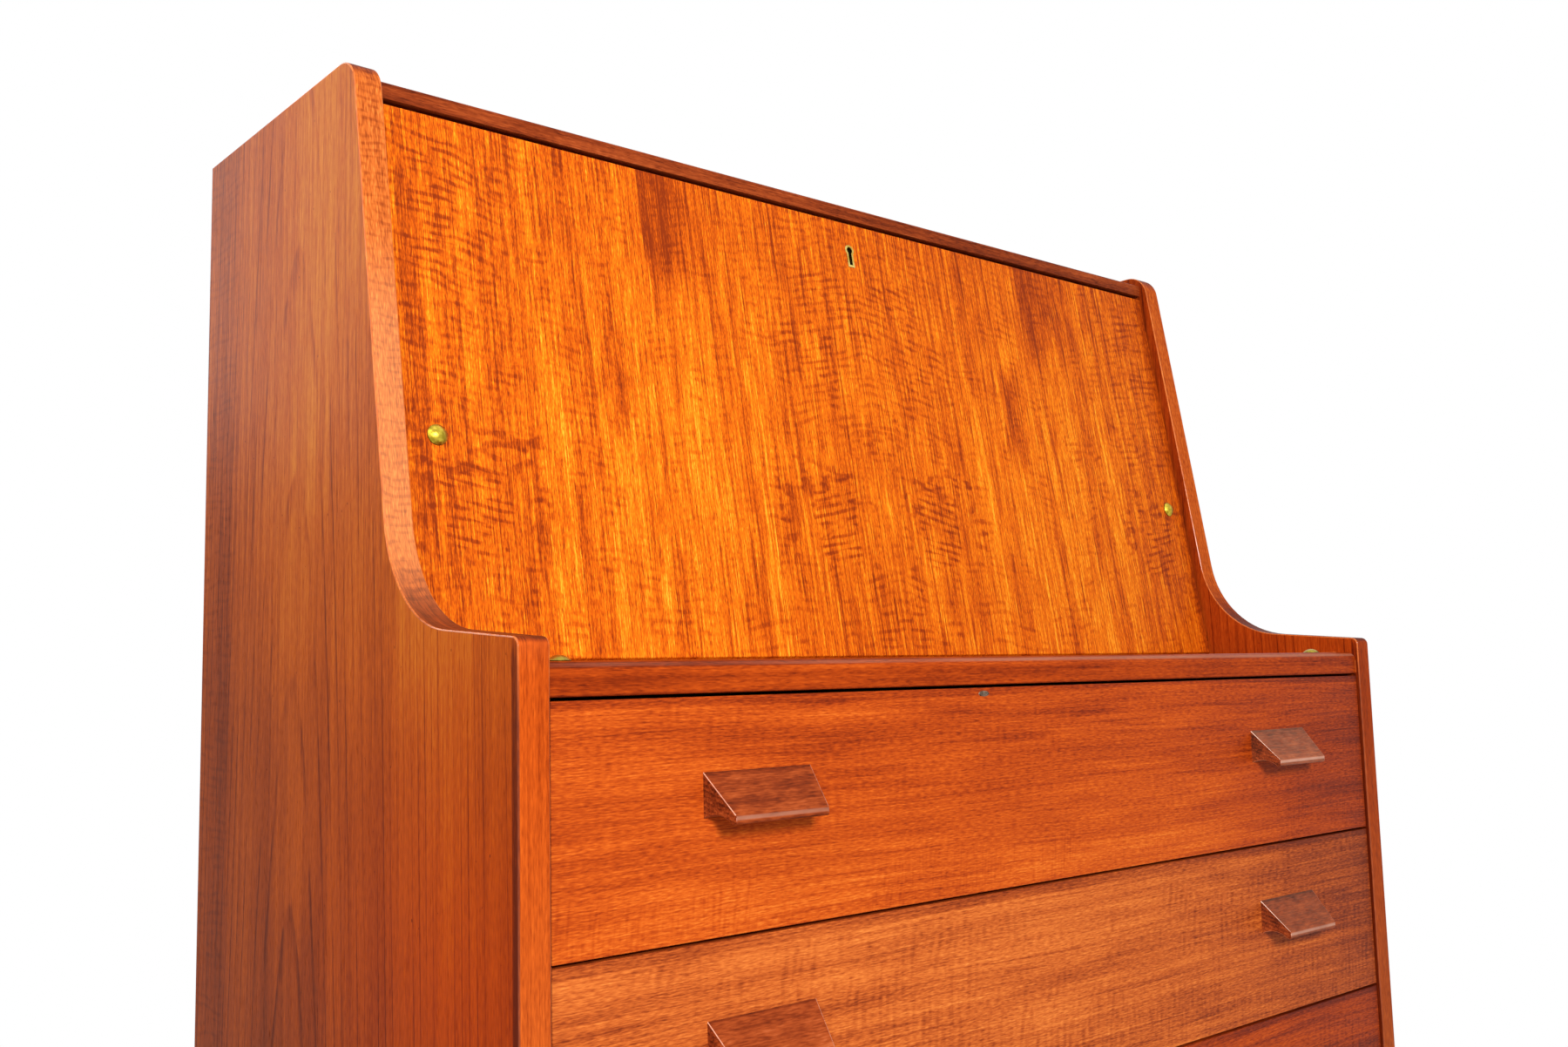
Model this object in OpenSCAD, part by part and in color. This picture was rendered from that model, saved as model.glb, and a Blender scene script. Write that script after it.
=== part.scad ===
// Secretary desk: a slanted fall front over a ledge and three drawers, on a turned-leg base.
// X runs to the right, Y to the back and Z up. The floor is Z = 0, and the origin lies
// under the middle of the whole box, with the drawer pulls counted in.

/* [Carcass] */
// Width over the two side panels
body_w = 920; // [760:10:1200]
// Depth of the side panels
body_d = 487; // [400:1:600]
// Height of the side panels above the ledge
upper_h = 415; // [340:5:500]
// Thickness of the side panels
side_t = 20; // [16:0.5:26]
// Thickness of the ledge board
ledge_t = 20; // [16:0.5:26]
// Thickness of the bottom panel
bottom_t = 20; // [16:0.5:26]
// Thickness of the top panel
top_t = 24; // [20:0.5:30]
// Thickness of the plywood back
back_t = 6; // [4:0.5:9]
// Depth of the housings in the sides that hold the top, ledge and bottom
housing = 6; // [3:0.5:9]
// Width of the rebates in the sides that hold the back
rebate = 8; // [5:0.5:11]
// Setback of the ledge and bottom panel from the sides' front edges
ledge_set = 3; // [1:0.5:8]
// Radius of the ledge's upper front edge
nose_r = 8; // [3:0.5:12]
// Drop from the sides' tops to the top panel's surface
top_drop = 11; // [6:1:20]

/* [Side outline] */
// Height of the shoulder above the ledge, at the front edge
shoulder_h = 13; // [8:1:24]
// Rise of the shoulder towards the back, in degrees
shoulder_rise = 5; // [0:0.5:10]
// Setback of the slanted edge from the front edge, measured at ledge height
slant_set = 148; // [120:1:190]
// Lean of the slanted edge and of the fall, in degrees from upright
lean = 9.3; // [5:0.1:14]
// Radius of the sweep from the shoulder into the slanted edge
sweep_r = 88; // [40:1:110]
// Radius of the top front corner
top_corner_r = 24; // [8:1:40]
// Radius of the shoulder's front corner
shoulder_corner_r = 6; // [2:0.5:8]

/* [Fall] */
// Thickness of the fall
fall_t = 18; // [15:0.5:22]
// Depth of the fall's face behind the slanted edges
fall_set = 8.8; // [4:0.2:14]
// Gap between the fall and each side
fall_side_gap = 1.5; // [1:0.1:2.5]
// Gap between the fall and the top panel's lip
fall_gap = 4.3; // [2:0.1:6]
// Height of the top panel's lip over the fall
lip_t = 12; // [9:0.5:14]
// Diameter of the brass studs' heads
stud_d = 14.5; // [10:0.5:20]
// Height of the brass studs' heads
stud_h = 4; // [3:0.5:6]
// Distance from a side's inner face to the studs' centres
stud_side = 26; // [16:1:60]
// Setback of the ledge's studs from the sides' front edges
stud_set = 33; // [20:1:60]
// Radius of the pivot pins
pin_r = 3; // [2:0.5:4]
// Radial clearance of a pivot pin in its bush
pin_air = 0.05; // [0.01:0.01:0.1]

/* [Lock] */
// Width of the lock's case
lock_w = 44; // [36:1:60]
// Height of the lock's case
lock_h = 42; // [40:1:60]
// Depth of the lock's case from the fall's inner face
lock_d = 10.5; // [9:0.5:11]
// Throw of the bolt
bolt_throw = 10; // [6:0.5:11]
// Drop from the fall's top edge to the keyhole
keyhole_drop = 26; // [24:0.5:32]
// Radius of the round end of the keyhole
keyhole_r = 3.1; // [2.5:0.1:4]

/* [Inside] */
// Thickness of the writing floor
floor_t = 16; // [12:0.5:18]
// Height of the pigeonholes
hole_h = 150; // [100:5:180]
// Depth of the pigeonhole dividers
hole_d = 210; // [150:5:230]
// Thickness of the pigeonhole shelf
shelf_t = 10; // [8:0.5:14]
// Thickness of the dividers
divider_t = 8; // [6:0.5:12]
// Setback of the shelf behind the dividers' feet
divider_sweep = 50; // [30:1:70]

/* [Drawers] */
// Height of each drawer front
drawer_h = 139.5; // [110:0.5:180]
// Gap above and below each drawer front
drawer_gap = 2; // [1:0.5:4]
// Gap at each end of a drawer front
drawer_end_gap = 1.5; // [1:0.1:3]
// Setback of the drawer fronts from the sides' front edges
drawer_set = 2.5; // [1:0.5:8]
// Thickness of the drawer fronts
front_t = 18; // [16:0.5:24]
// Thickness of the drawers' sides and backs
box_t = 13; // [11:0.5:16]
// Thickness of the drawers' plywood bottoms
base_t = 4; // [3:0.5:6]
// Gap between a drawer's side and the carcass side
box_gap = 2; // [1:0.5:4]
// Space behind a drawer when it is shut
behind = 20; // [8:1:40]
// Height of a runner
runner_h = 18; // [14:1:24]
// Reach of a runner into the groove in a drawer's side
runner_reach = 6; // [4:0.5:8]
// Running clearance of a runner in its groove
runner_air = 0.3; // [0.3:0.1:0.8]

/* [Pulls] */
// Length of a pull's back
pull_w = 84; // [60:1:120]
// Length of a pull's lip
pull_lip_w = 72; // [50:1:120]
// Height of a pull's back
pull_h = 26.5; // [22:0.5:32]
// Reach of a pull in front of the drawer front
pull_reach = 23; // [20:0.5:34]
// Drop from a pull's top edge to the top of its lip
pull_fall = 24.5; // [18:0.5:28]
// Height of a pull's lip
lip_h = 5; // [4:0.5:8]
// Distance from a side's inner face to a pull's centre
pull_side = 146.5; // [80:0.5:200]
// Drop from a drawer front's top edge to a pull's top edge
pull_drop = 44; // [30:0.5:60]

/* [Base] */
// Height of the carcass above the floor
leg_h = 240; // [150:5:300]
// Radius at the top of a leg
leg_top_r = 19; // [16:0.5:24]
// Radius at the foot of a leg
leg_foot_r = 12; // [9:0.5:15]
// Inset of the legs' centres from the sides, front and back
leg_in = 50; // [40:1:80]
// Height of the base rails
rail_h = 45; // [35:1:60]
// Thickness of the base rails
rail_t = 20; // [16:0.5:26]

/* [Hidden] */
$fn = 48;

drawers = 3;
arc_steps = 16;      // steps in each rounded corner of an outline
past = 1;            // how far a cut runs past the face it opens
fit_air = 0.1;       // clearance round a part that is glued or let in
shut_air = 0.3;      // air left where a moving part meets its stop

// Heights
ledge_z = leg_h + bottom_t + drawers * drawer_h + (drawers + 1) * drawer_gap + ledge_t;
side_top_z = ledge_z + upper_h;
top_z = side_top_z - top_drop;
lip_z = top_z - lip_t;
pivot_z = ledge_z + 2 * stud_h + shut_air + fall_t / 2;
floor_z = pivot_z + fall_t / 2;
shelf_z = floor_z + hole_h;

// Depths
front_y = (pull_reach - drawer_set - body_d) / 2;
back_y = front_y + body_d;
inside_back_y = back_y - back_t;
board_y = front_y + ledge_set;
drawer_y = front_y + drawer_set;
box_y = drawer_y + front_t;
box_end_y = inside_back_y - behind;

// Widths, each from the middle
half_w = body_w / 2;
half_in = half_w - side_t;
stud_x = half_in - stud_side;
pull_x = half_in - pull_side;
box_x = half_in - box_gap;
box_in_x = box_x - box_t;
fall_x = half_in - fall_side_gap;

// Y on the slanted edge at height z, moved back at right angles to it by off
function slant_y(z, off = 0) = front_y + slant_set + (z - ledge_z) * tan(lean) + off / cos(lean);

// The fall's own frame: its origin is on the pivot line, its Z runs up the fall
pivot_y = slant_y(pivot_z, fall_set + fall_t / 2);
fall_top = (lip_z - fall_gap - pivot_z - fall_t / 2 * sin(lean)) / cos(lean);
fall_in = fall_t / 2;
foot_r = pivot_z - ledge_z - shut_air;

// Screws: radius of the shank and of the head
screw_r = 1.75;
head_r = 3.5;
small_screw_r = 1.1;
small_head_r = 2.2;
long_screw_r = 2.5;
long_head_r = 5;
slot_w = 0.8;

// Wood and metal colours
side_teak = [0.62, 0.27, 0.12];
fall_teak = [0.85, 0.40, 0.10];
drawer_teak = [0.74, 0.31, 0.10];
dark_teak = [0.45, 0.18, 0.08];
beech = [0.80, 0.62, 0.42];
plywood = [0.78, 0.60, 0.38];
brass = [0.78, 0.66, 0.30];
steel = [0.60, 0.60, 0.60];

// ---- outlines ----

function unit(v) = v / norm(v);
function half_angle(p, a, b) = acos(unit(a - p) * unit(b - p)) / 2;
function touch(p, a, b, r) = p + unit(a - p) * r / tan(half_angle(p, a, b));
function centre(p, a, b, r) =
    p + unit(unit(a - p) + unit(b - p)) * r / sin(half_angle(p, a, b));
function heading(v) = atan2(v[1], v[0]);
function shortest(turn) = turn > 180 ? turn - 360 : turn < -180 ? turn + 360 : turn;

// Points of an arc round c, from heading from through turn degrees
function arc(c, r, from, turn) =
    [for (i = [0 : arc_steps])
        let (a = from + turn * i / arc_steps) c + r * [cos(a), sin(a)]];

// Corner p of an outline, between its neighbours a and b, rounded to radius r
function rounded(p, a, b, r) =
    let (
        c = centre(p, a, b, r),
        from = heading(touch(p, a, b, r) - c),
        turn = shortest(heading(touch(p, b, a, r) - c) - from)
    ) arc(c, r, from, turn);

// ---- helpers ----

// Box between two opposite corners
module block(low, high) {
    translate(low) cube(high - low);
}

// An outline drawn in Y and Z, run along X from x0 to x1
module along_x(x0, x1) {
    translate([x0, 0, 0]) rotate([90, 0, 90]) linear_extrude(x1 - x0) children();
}

module left_and_right() {
    children();
    mirror([1, 0, 0]) children();
}

// Moves from the fall's own frame to where the shut fall stands
module on_fall() {
    translate([0, pivot_y, pivot_z]) rotate([-lean, 0, 0]) children();
}

// Shape of a countersunk screw that hangs down from its head's face at Z = 0
module screw_body(length, r, head) {
    sink = head - r;
    translate([0, 0, -sink]) cylinder(r1 = r, r2 = head, h = sink);
    translate([0, 0, -length + r]) cylinder(r = r, h = length - r - sink + fit_air);
    translate([0, 0, -length]) cylinder(r1 = r / 4, r2 = r, h = r);
}

module screw(length, r, head) {
    difference() {
        screw_body(length, r, head);
        translate([-head - past, -slot_w / 2, -slot_w]) cube([2 * (head + past), slot_w, slot_w + past]);
    }
}

// Hole for that screw, open at its head
module screw_hole(length, r, head) {
    sink = head - r;
    cylinder(r = head + fit_air, h = past);
    translate([0, 0, -sink]) cylinder(r1 = r + fit_air, r2 = head + fit_air, h = sink);
    translate([0, 0, -length - fit_air]) cylinder(r = r + fit_air, h = length);
}

// Domed stud: the head stands on Z = 0 and the shank goes down
stud_rim = 0.8;
stud_shank_r = 2;
stud_shank = 10;

module stud() {
    rise = stud_h - stud_rim;
    dome_r = (pow(stud_d / 2, 2) + pow(rise, 2)) / (2 * rise);
    cylinder(r = stud_d / 2, h = stud_rim);
    difference() {
        translate([0, 0, stud_h - dome_r]) sphere(r = dome_r);
        translate([-dome_r, -dome_r, stud_rim - 2 * dome_r]) cube(2 * dome_r);
    }
    translate([0, 0, -stud_shank]) cylinder(r = stud_shank_r, h = stud_shank + stud_rim);
}

module stud_hole() {
    translate([0, 0, -stud_shank - fit_air]) cylinder(r = stud_shank_r + fit_air, h = stud_shank + past);
}

// ---- carcass ----

shoulder_grade = tan(shoulder_rise);
inner_corner_h = (shoulder_h + slant_set * shoulder_grade) / (1 - tan(lean) * shoulder_grade);
outline_foot = [front_y, leg_h];
outline_shoulder = [front_y, ledge_z + shoulder_h];
outline_corner = [slant_y(ledge_z + inner_corner_h), ledge_z + inner_corner_h];
outline_top = [slant_y(side_top_z), side_top_z];
outline_back = [back_y, side_top_z];

module side_outline() {
    polygon(concat(
        [outline_foot],
        rounded(outline_shoulder, outline_foot, outline_corner, shoulder_corner_r),
        rounded(outline_corner, outline_shoulder, outline_top, sweep_r),
        rounded(outline_top, outline_corner, outline_back, top_corner_r),
        [outline_back, [back_y, leg_h]]
    ));
}

// The tongues of the housed panels start this far behind their front edges
tongue_in = 20;
lip_front_y = slant_y(lip_z, fall_set);

module tongues(y, z, thickness) {
    left_and_right()
        block([half_in - past, y + tongue_in, z - thickness], [half_in + housing, inside_back_y, z]);
}

module side() {
    difference() {
        along_x(half_in, half_w) side_outline();
        tongues(lip_front_y, top_z, top_t);
        tongues(board_y, ledge_z, ledge_t);
        tongues(board_y, leg_h + bottom_t, bottom_t);
        block([half_in - past, inside_back_y, leg_h - past], [half_in + rebate, back_y + past, top_z]);
        bush_place() bush_seat();
        runner_screw_places() screw_hole(runner_screw, screw_r, head_r);
        side_back_screw_places() screw_hole(back_screw, screw_r, head_r);
    }
}

module side_left() {
    color(side_teak) mirror([1, 0, 0]) side();
}

module side_right() {
    color(side_teak) side();
}

// Front edge of the ledge and bottom panel, rounded above by r
board_arris = 1.5;

module board_outline(z, thickness, r) {
    high = [board_y, z];
    low = [board_y, z - thickness];
    far = [inside_back_y, z];
    polygon(concat(
        rounded(high, far, low, r),
        rounded(low, high, [inside_back_y, z - thickness], board_arris),
        [[inside_back_y, z - thickness], far]
    ));
}

module ledge_board() {
    color(drawer_teak) difference() {
        union() {
            along_x(-half_in, half_in) board_outline(ledge_z, ledge_t, nose_r);
            tongues(board_y, ledge_z, ledge_t);
        }
        ledge_stud_places() stud_hole();
        back_edge_screw_places(ledge_z - ledge_t / 2) screw_hole(back_screw, screw_r, head_r);
    }
}

module bottom_panel() {
    color(drawer_teak) difference() {
        union() {
            along_x(-half_in, half_in) board_outline(leg_h + bottom_t, bottom_t, board_arris);
            tongues(board_y, leg_h + bottom_t, bottom_t);
        }
        base_screw_places() screw_hole(base_screw, long_screw_r, long_head_r);
        back_edge_screw_places(leg_h + bottom_t / 2) screw_hole(back_screw, screw_r, head_r);
    }
}

// The top panel: a lip over the fall, and behind it a shoulder that the fall shuts against
lip_arris = 2;
stop_off = fall_set + fall_t + shut_air;

module top_outline() {
    high = [lip_front_y, top_z];
    low = [lip_front_y, lip_z];
    polygon(concat(
        rounded(high, [inside_back_y, top_z], low, lip_arris),
        [
            low,
            [slant_y(lip_z, stop_off), lip_z],
            [slant_y(top_z - top_t, stop_off), top_z - top_t],
            [inside_back_y, top_z - top_t],
            [inside_back_y, top_z]
        ]
    ));
}

module top_panel() {
    color(dark_teak) difference() {
        union() {
            along_x(-half_in, half_in) top_outline();
            tongues(lip_front_y, top_z, top_t);
        }
        strike_mortise();
        back_edge_screw_places(top_z - top_t / 2) screw_hole(back_screw, screw_r, head_r);
    }
}

module back_panel() {
    edge_x = half_in + rebate - shut_air;
    color(plywood) difference() {
        block([-edge_x, inside_back_y, leg_h], [edge_x, back_y, top_z]);
        left_and_right() side_back_screw_places() screw_hole(back_screw, screw_r, head_r);
        for (z = back_edge_heights) back_edge_screw_places(z) screw_hole(back_screw, screw_r, head_r);
    }
}

// Screws of the back: a column up each side, and a row into each panel's back edge
back_screw = 20;
back_screws_up = 6;
back_screws_across = 4;
back_screw_in = 30;
back_edge_heights = [leg_h + bottom_t / 2, ledge_z - ledge_t / 2, top_z - top_t / 2];

module side_back_screw_places() {
    low = leg_h + bottom_t + back_screw_in;
    step = (top_z - top_t - back_screw_in - low) / (back_screws_up - 1);
    for (i = [0 : back_screws_up - 1])
        translate([half_in + rebate / 2, back_y, low + i * step]) rotate([-90, 0, 0]) children();
}

module back_edge_screw_places(z) {
    step = 2 * (half_in - back_screw_in) / (back_screws_across - 1);
    for (i = [0 : back_screws_across - 1])
        translate([back_screw_in - half_in + i * step, back_y, z]) rotate([-90, 0, 0]) children();
}

module back_screws() {
    color(steel) {
        left_and_right() side_back_screw_places() screw(back_screw, screw_r, head_r);
        for (z = back_edge_heights) back_edge_screw_places(z) screw(back_screw, screw_r, head_r);
    }
}

// ---- writing floor and pigeonholes ----

floor_front_y = pivot_y + foot_r + 2 * shut_air;
floor_air = 0.5;
batten_w = 30;
batten_rows = 3;
batten_in = 15;

module writing_floor() {
    color(drawer_teak)
        block([floor_air - half_in, floor_front_y, floor_z - floor_t], [half_in - floor_air, inside_back_y, floor_z]);
}

module floor_battens() {
    low = floor_front_y + batten_in;
    step = (inside_back_y - batten_in - batten_w - low) / (batten_rows - 1);
    color(beech) for (i = [0 : batten_rows - 1])
        block(
            [floor_air - half_in, low + i * step, ledge_z],
            [half_in - floor_air, low + i * step + batten_w, floor_z - floor_t]
        );
}

module pigeonhole_shelf() {
    color(drawer_teak)
        block([-half_in, inside_back_y - hole_d + divider_sweep, shelf_z], [half_in, inside_back_y, shelf_z + shelf_t]);
}

// A divider's foot runs forward under the open front and sweeps up to the shelf
divider_toe = 30;
divider_toe_r = 8;
divider_sweep_r = 40;

module divider_outline() {
    foot_y = inside_back_y - hole_d;
    foot = [foot_y, floor_z];
    toe = [foot_y, floor_z + divider_toe];
    bend = [foot_y + divider_sweep, floor_z + divider_toe];
    head = [foot_y + divider_sweep, shelf_z];
    polygon(concat(
        [foot],
        rounded(toe, foot, bend, divider_toe_r),
        rounded(bend, toe, head, divider_sweep_r),
        [head, [inside_back_y, shelf_z], [inside_back_y, floor_z]]
    ));
}

module pigeonhole_dividers() {
    color(drawer_teak) for (i = [-1 : 1])
        along_x(i * half_in / 2 - divider_t / 2, i * half_in / 2 + divider_t / 2) divider_outline();
}

// ---- fall ----

module pivot_places() {
    left_and_right() translate([0, pivot_y, pivot_z]) rotate([0, 90, 0]) children();
}

pin_seat = 25;       // length of a pin inside the fall
pin_reach = 10;      // length of a pin inside its bush
bush_wall = 2.5;
bush_flange = 3;
bush_flange_t = 1;

module pivot_pins() {
    color(brass) pivot_places()
        translate([0, 0, fall_x - pin_seat]) cylinder(r = pin_r, h = pin_seat + fall_side_gap + pin_reach);
}

module bush_place() {
    translate([half_in, pivot_y, pivot_z]) rotate([0, 90, 0]) children();
}

bush_length = pin_reach + shut_air;
bush_r = pin_r + pin_air + bush_wall;

module bush_shape(air) {
    cylinder(r = bush_r + air, h = bush_length + air);
    cylinder(r = bush_r + bush_flange + air, h = bush_flange_t + air);
}

module bush_seat() {
    bush_shape(fit_air);
    translate([0, 0, -past]) cylinder(r = bush_r + bush_flange + fit_air, h = past + fit_air);
}

module pivot_bushes() {
    color(brass) left_and_right() bush_place() difference() {
        bush_shape(0);
        translate([0, 0, -past]) cylinder(r = pin_r + pin_air, h = bush_length + 2 * past);
    }
}

module fall_stud_places() {
    left_and_right() translate([stud_x, -fall_in, pivot_y - front_y - stud_set]) rotate([90, 0, 0]) children();
}

module ledge_stud_places() {
    left_and_right() translate([stud_x, front_y + stud_set, ledge_z]) children();
}

module fall_studs() {
    color(brass) on_fall() fall_stud_places() stud();
}

module ledge_studs() {
    color(brass) ledge_stud_places() stud();
}

// The fall's board: its foot is rounded about the pivot line, to turn just clear of the ledge
module fall_slab() {
    block([-fall_x, -fall_in, 0], [fall_x, fall_in, fall_top]);
    intersection() {
        block([-fall_x, -fall_in, -foot_r - past], [fall_x, fall_in, past]);
        translate([-fall_x, 0, 0]) rotate([0, 90, 0]) cylinder(r = foot_r, h = 2 * fall_x);
    }
}

module fall_panel() {
    color(fall_teak) difference() {
        on_fall() difference() {
            fall_slab();
            fall_stud_places() stud_hole();
            lock_recess();
            lock_screw_places() screw_hole(lock_screw, small_screw_r, small_head_r);
            keyhole_cut(keyhole_r, -fall_in - past, lock_floor + past);
            keyhole_cut(keyhole_r + escutcheon_wall, -fall_in - past, escutcheon_t - fall_in);
        }
        pivot_places() translate([0, 0, fall_x - pin_seat - fit_air])
            cylinder(r = pin_r + fit_air, h = pin_seat + 2 * past);
    }
}

// ---- lock, in the fall's own frame ----

lock_floor = fall_in - lock_d;       // Y of the case's front face
lock_plate = 1.5;                    // thickness of the case's walls and cover
selvage_t = 2;
selvage_over = 8;                    // reach of the selvage and cover past each side of the case
keyhole_z = fall_top - keyhole_drop;
keyhole_slot_w = 3.6;
keyhole_slot_h = 14;                 // from the round end's centre to the slot's foot
escutcheon_wall = 2.1;
escutcheon_t = 3;
cover_y = fall_in - lock_plate;
cavity_y = lock_floor + lock_plate;
bolt_y = (cavity_y + cover_y) / 2;
bolt_t = 6;
bolt_w = 16;
bolt_back = 0.8;                     // how far the drawn bolt lies below the selvage's face
lock_screw = 6;

module keyhole_outline(r) {
    grown = r - keyhole_r;
    circle(r = r);
    translate([-keyhole_slot_w / 2 - grown, -keyhole_slot_h - grown])
        square([keyhole_slot_w + 2 * grown, keyhole_slot_h + grown]);
}

// The keyhole outline, run along Y from y0 to y1
module keyhole_cut(r, y0, y1) {
    translate([0, y1, keyhole_z]) rotate([90, 0, 0]) linear_extrude(y1 - y0) keyhole_outline(r);
}

module escutcheon() {
    color(brass) on_fall() difference() {
        keyhole_cut(keyhole_r + escutcheon_wall - fit_air, -fall_in - shut_air, escutcheon_t - fall_in);
        keyhole_cut(keyhole_r, -fall_in - past, lock_floor);
    }
}

module lock_recess() {
    case_x = lock_w / 2 + fit_air;
    plate_x = lock_w / 2 + selvage_over + fit_air;
    foot_z = fall_top - lock_h - fit_air;
    block([-case_x, lock_floor - fit_air, foot_z], [case_x, fall_in + past, fall_top + past]);
    block([-plate_x, lock_floor - fit_air, fall_top - selvage_t - fit_air],
          [plate_x, fall_in + past, fall_top + past]);
    block([-plate_x, cover_y - fit_air, foot_z], [plate_x, fall_in + past, fall_top + past]);
}

module lock_case() {
    case_x = lock_w / 2;
    under_z = fall_top - selvage_t;
    color(steel) on_fall() difference() {
        union() {
            difference() {
                block([-case_x, lock_floor, fall_top - lock_h], [case_x, cover_y, under_z]);
                block([lock_plate - case_x, cavity_y, fall_top - lock_h + lock_plate],
                      [case_x - lock_plate, cover_y + past, under_z + past]);
            }
            block([-case_x - selvage_over, lock_floor, under_z], [case_x + selvage_over, fall_in, fall_top]);
        }
        keyhole_cut(keyhole_r, lock_floor - past, cavity_y + past);
        block([-bolt_w / 2 - shut_air, bolt_y - bolt_t / 2 - shut_air, under_z - past],
              [bolt_w / 2 + shut_air, bolt_y + bolt_t / 2 + shut_air, fall_top + past]);
    }
}

// The cover closes the case and carries the post that a barrel key turns on
post_r = 1.3;

module lock_cover() {
    plate_x = lock_w / 2 + selvage_over;
    color(steel) on_fall() difference() {
        union() {
            block([-plate_x, cover_y, fall_top - lock_h], [plate_x, fall_in, fall_top - selvage_t]);
            translate([0, cover_y + fit_air, keyhole_z]) rotate([90, 0, 0])
                cylinder(r = post_r, h = cover_y - lock_floor);
        }
        lock_screw_places() screw_hole(lock_screw, small_screw_r, small_head_r);
    }
}

module lock_screw_places() {
    for (x = [-1, 1], drop = [10, lock_h - 6])
        translate([x * (lock_w / 2 + selvage_over / 2), fall_in, fall_top - drop])
            rotate([-90, 0, 0]) children();
}

module lock_screws() {
    color(steel) on_fall() lock_screw_places() screw(lock_screw, small_screw_r, small_head_r);
}

// The bolt: a head that leaves through the selvage, and a tail beside the post
bolt_head_h = 16;
bolt_tail_h = 38;
bolt_tail_x = -16;

module lock_bolt() {
    low_y = bolt_y - bolt_t / 2;
    high_y = bolt_y + bolt_t / 2;
    tail_top = fall_top - selvage_t - bolt_throw - 2 * shut_air;
    color(brass) on_fall() {
        block([-bolt_w / 2, low_y, fall_top - bolt_head_h], [bolt_w / 2, high_y, fall_top - bolt_back]);
        block([bolt_tail_x, low_y, fall_top - bolt_tail_h], [-post_r * 3, high_y, tail_top]);
    }
}

// ---- strike, under the top panel's lip ----

strike_t = 1.5;
strike_w = 46;
strike_d = 10;
strike_hole = 0.8;                   // room round the bolt
strike_screw = 8;
strike_depth = 6;                    // depth of the mortise above the strike
strike_up = (lip_z - pivot_z + bolt_y * sin(lean)) / cos(lean);
strike_y = pivot_y + bolt_y * cos(lean) + strike_up * sin(lean);

module strike_block(w, d, z0, z1) {
    block([-w / 2, strike_y - d / 2, z0], [w / 2, strike_y + d / 2, z1]);
}

module strike_mortise() {
    strike_block(strike_w + 2 * fit_air, strike_d + 2 * fit_air, lip_z - past, lip_z + strike_t + fit_air);
    strike_block(bolt_w + 2 * strike_hole, bolt_t + 2.5 * strike_hole, lip_z, lip_z + strike_depth);
    strike_screw_places() screw_hole(strike_screw, small_screw_r, small_head_r);
}

module strike_screw_places() {
    left_and_right()
        translate([(strike_w + bolt_w) / 4, strike_y, lip_z]) rotate([180, 0, 0]) children();
}

module strike_plate() {
    color(brass) difference() {
        strike_block(strike_w, strike_d, lip_z, lip_z + strike_t);
        strike_block(bolt_w + 2 * strike_hole, bolt_t + 2.5 * strike_hole, lip_z - past, lip_z + strike_t + past);
        strike_screw_places() screw_hole(strike_screw, small_screw_r, small_head_r);
    }
}

module strike_screws() {
    color(brass) strike_screw_places() screw(strike_screw, small_screw_r, small_head_r);
}

// ---- drawers, numbered from 0 at the top ----

box_lift = 6;        // from a front's lower edge up to its sides
box_drop = 14;       // from a front's upper edge down to its sides
groove_up = 14;      // from a side's lower edge up to the bottom's groove
groove_d = 5;
back_lap = 5;        // how far a drawer's back is housed in its sides
back_in = 8;         // how far a drawer's sides run past its back
runner_up = 58;      // from a side's lower edge up to its runner
runner_in = 30;      // from a front's back face to its runners
runner_screw = 16;
runner_screw_in = 35;
tail_l = 12;
tail_w = 18;
tail_flare = 4;
tails = 3;

function front_z(i) = ledge_z - ledge_t - drawer_gap - (i + 1) * drawer_h - i * drawer_gap;
function box_z(i) = front_z(i) + box_lift;
function runner_z(i) = box_z(i) + runner_up;
box_h = drawer_h - box_lift - box_drop;
bottom_lift = groove_up + base_t;

// The dovetails at a side's front end, which the drawer front is cut to take
module tail_row(i, air) {
    pitch = box_h / tails;
    for (k = [0 : tails - 1]) {
        mid = box_z(i) + (k + 0.5) * pitch;
        root = tail_w / 2 - tail_flare / 2 + air;
        tip = tail_w / 2 + tail_flare / 2 + air;
        polygon([[box_y + past, mid - root], [box_y - tail_l, mid - tip],
                 [box_y - tail_l, mid + tip], [box_y + past, mid + root]]);
    }
}

module drawer_front(i) {
    end_x = half_in - drawer_end_gap;
    color(drawer_teak) difference() {
        block([-end_x, drawer_y, front_z(i)], [end_x, box_y, front_z(i) + drawer_h]);
        left_and_right() along_x(box_in_x, half_in) intersection() {
            tail_row(i, 0);
            translate([drawer_y, box_z(i) - box_lift]) square([front_t, drawer_h]);
        }
        block([-box_in_x - groove_d, box_y - groove_d, box_z(i) + groove_up],
              [box_in_x + groove_d, box_y + past, box_z(i) + bottom_lift + fit_air]);
        pull_screw_places(i) screw_hole(pull_screw, screw_r, head_r);
    }
}

module drawer_side(i) {
    color(beech) difference() {
        union() {
            block([box_in_x, box_y, box_z(i)], [box_x, box_end_y, box_z(i) + box_h]);
            along_x(box_in_x, box_x) tail_row(i, 0);
        }
        block([box_x - runner_reach - runner_air, box_y + runner_in - shut_air, runner_z(i) - runner_air],
              [box_x + past, box_end_y + past, runner_z(i) + runner_h + runner_air]);
        block([box_in_x - past, box_y - groove_d, box_z(i) + groove_up],
              [box_in_x + groove_d, box_end_y + past, box_z(i) + bottom_lift + fit_air]);
        block([box_in_x - past, box_end_y - back_in - box_t, box_z(i) + bottom_lift],
              [box_in_x + back_lap, box_end_y - back_in, box_z(i) + box_h + past]);
    }
}

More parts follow.
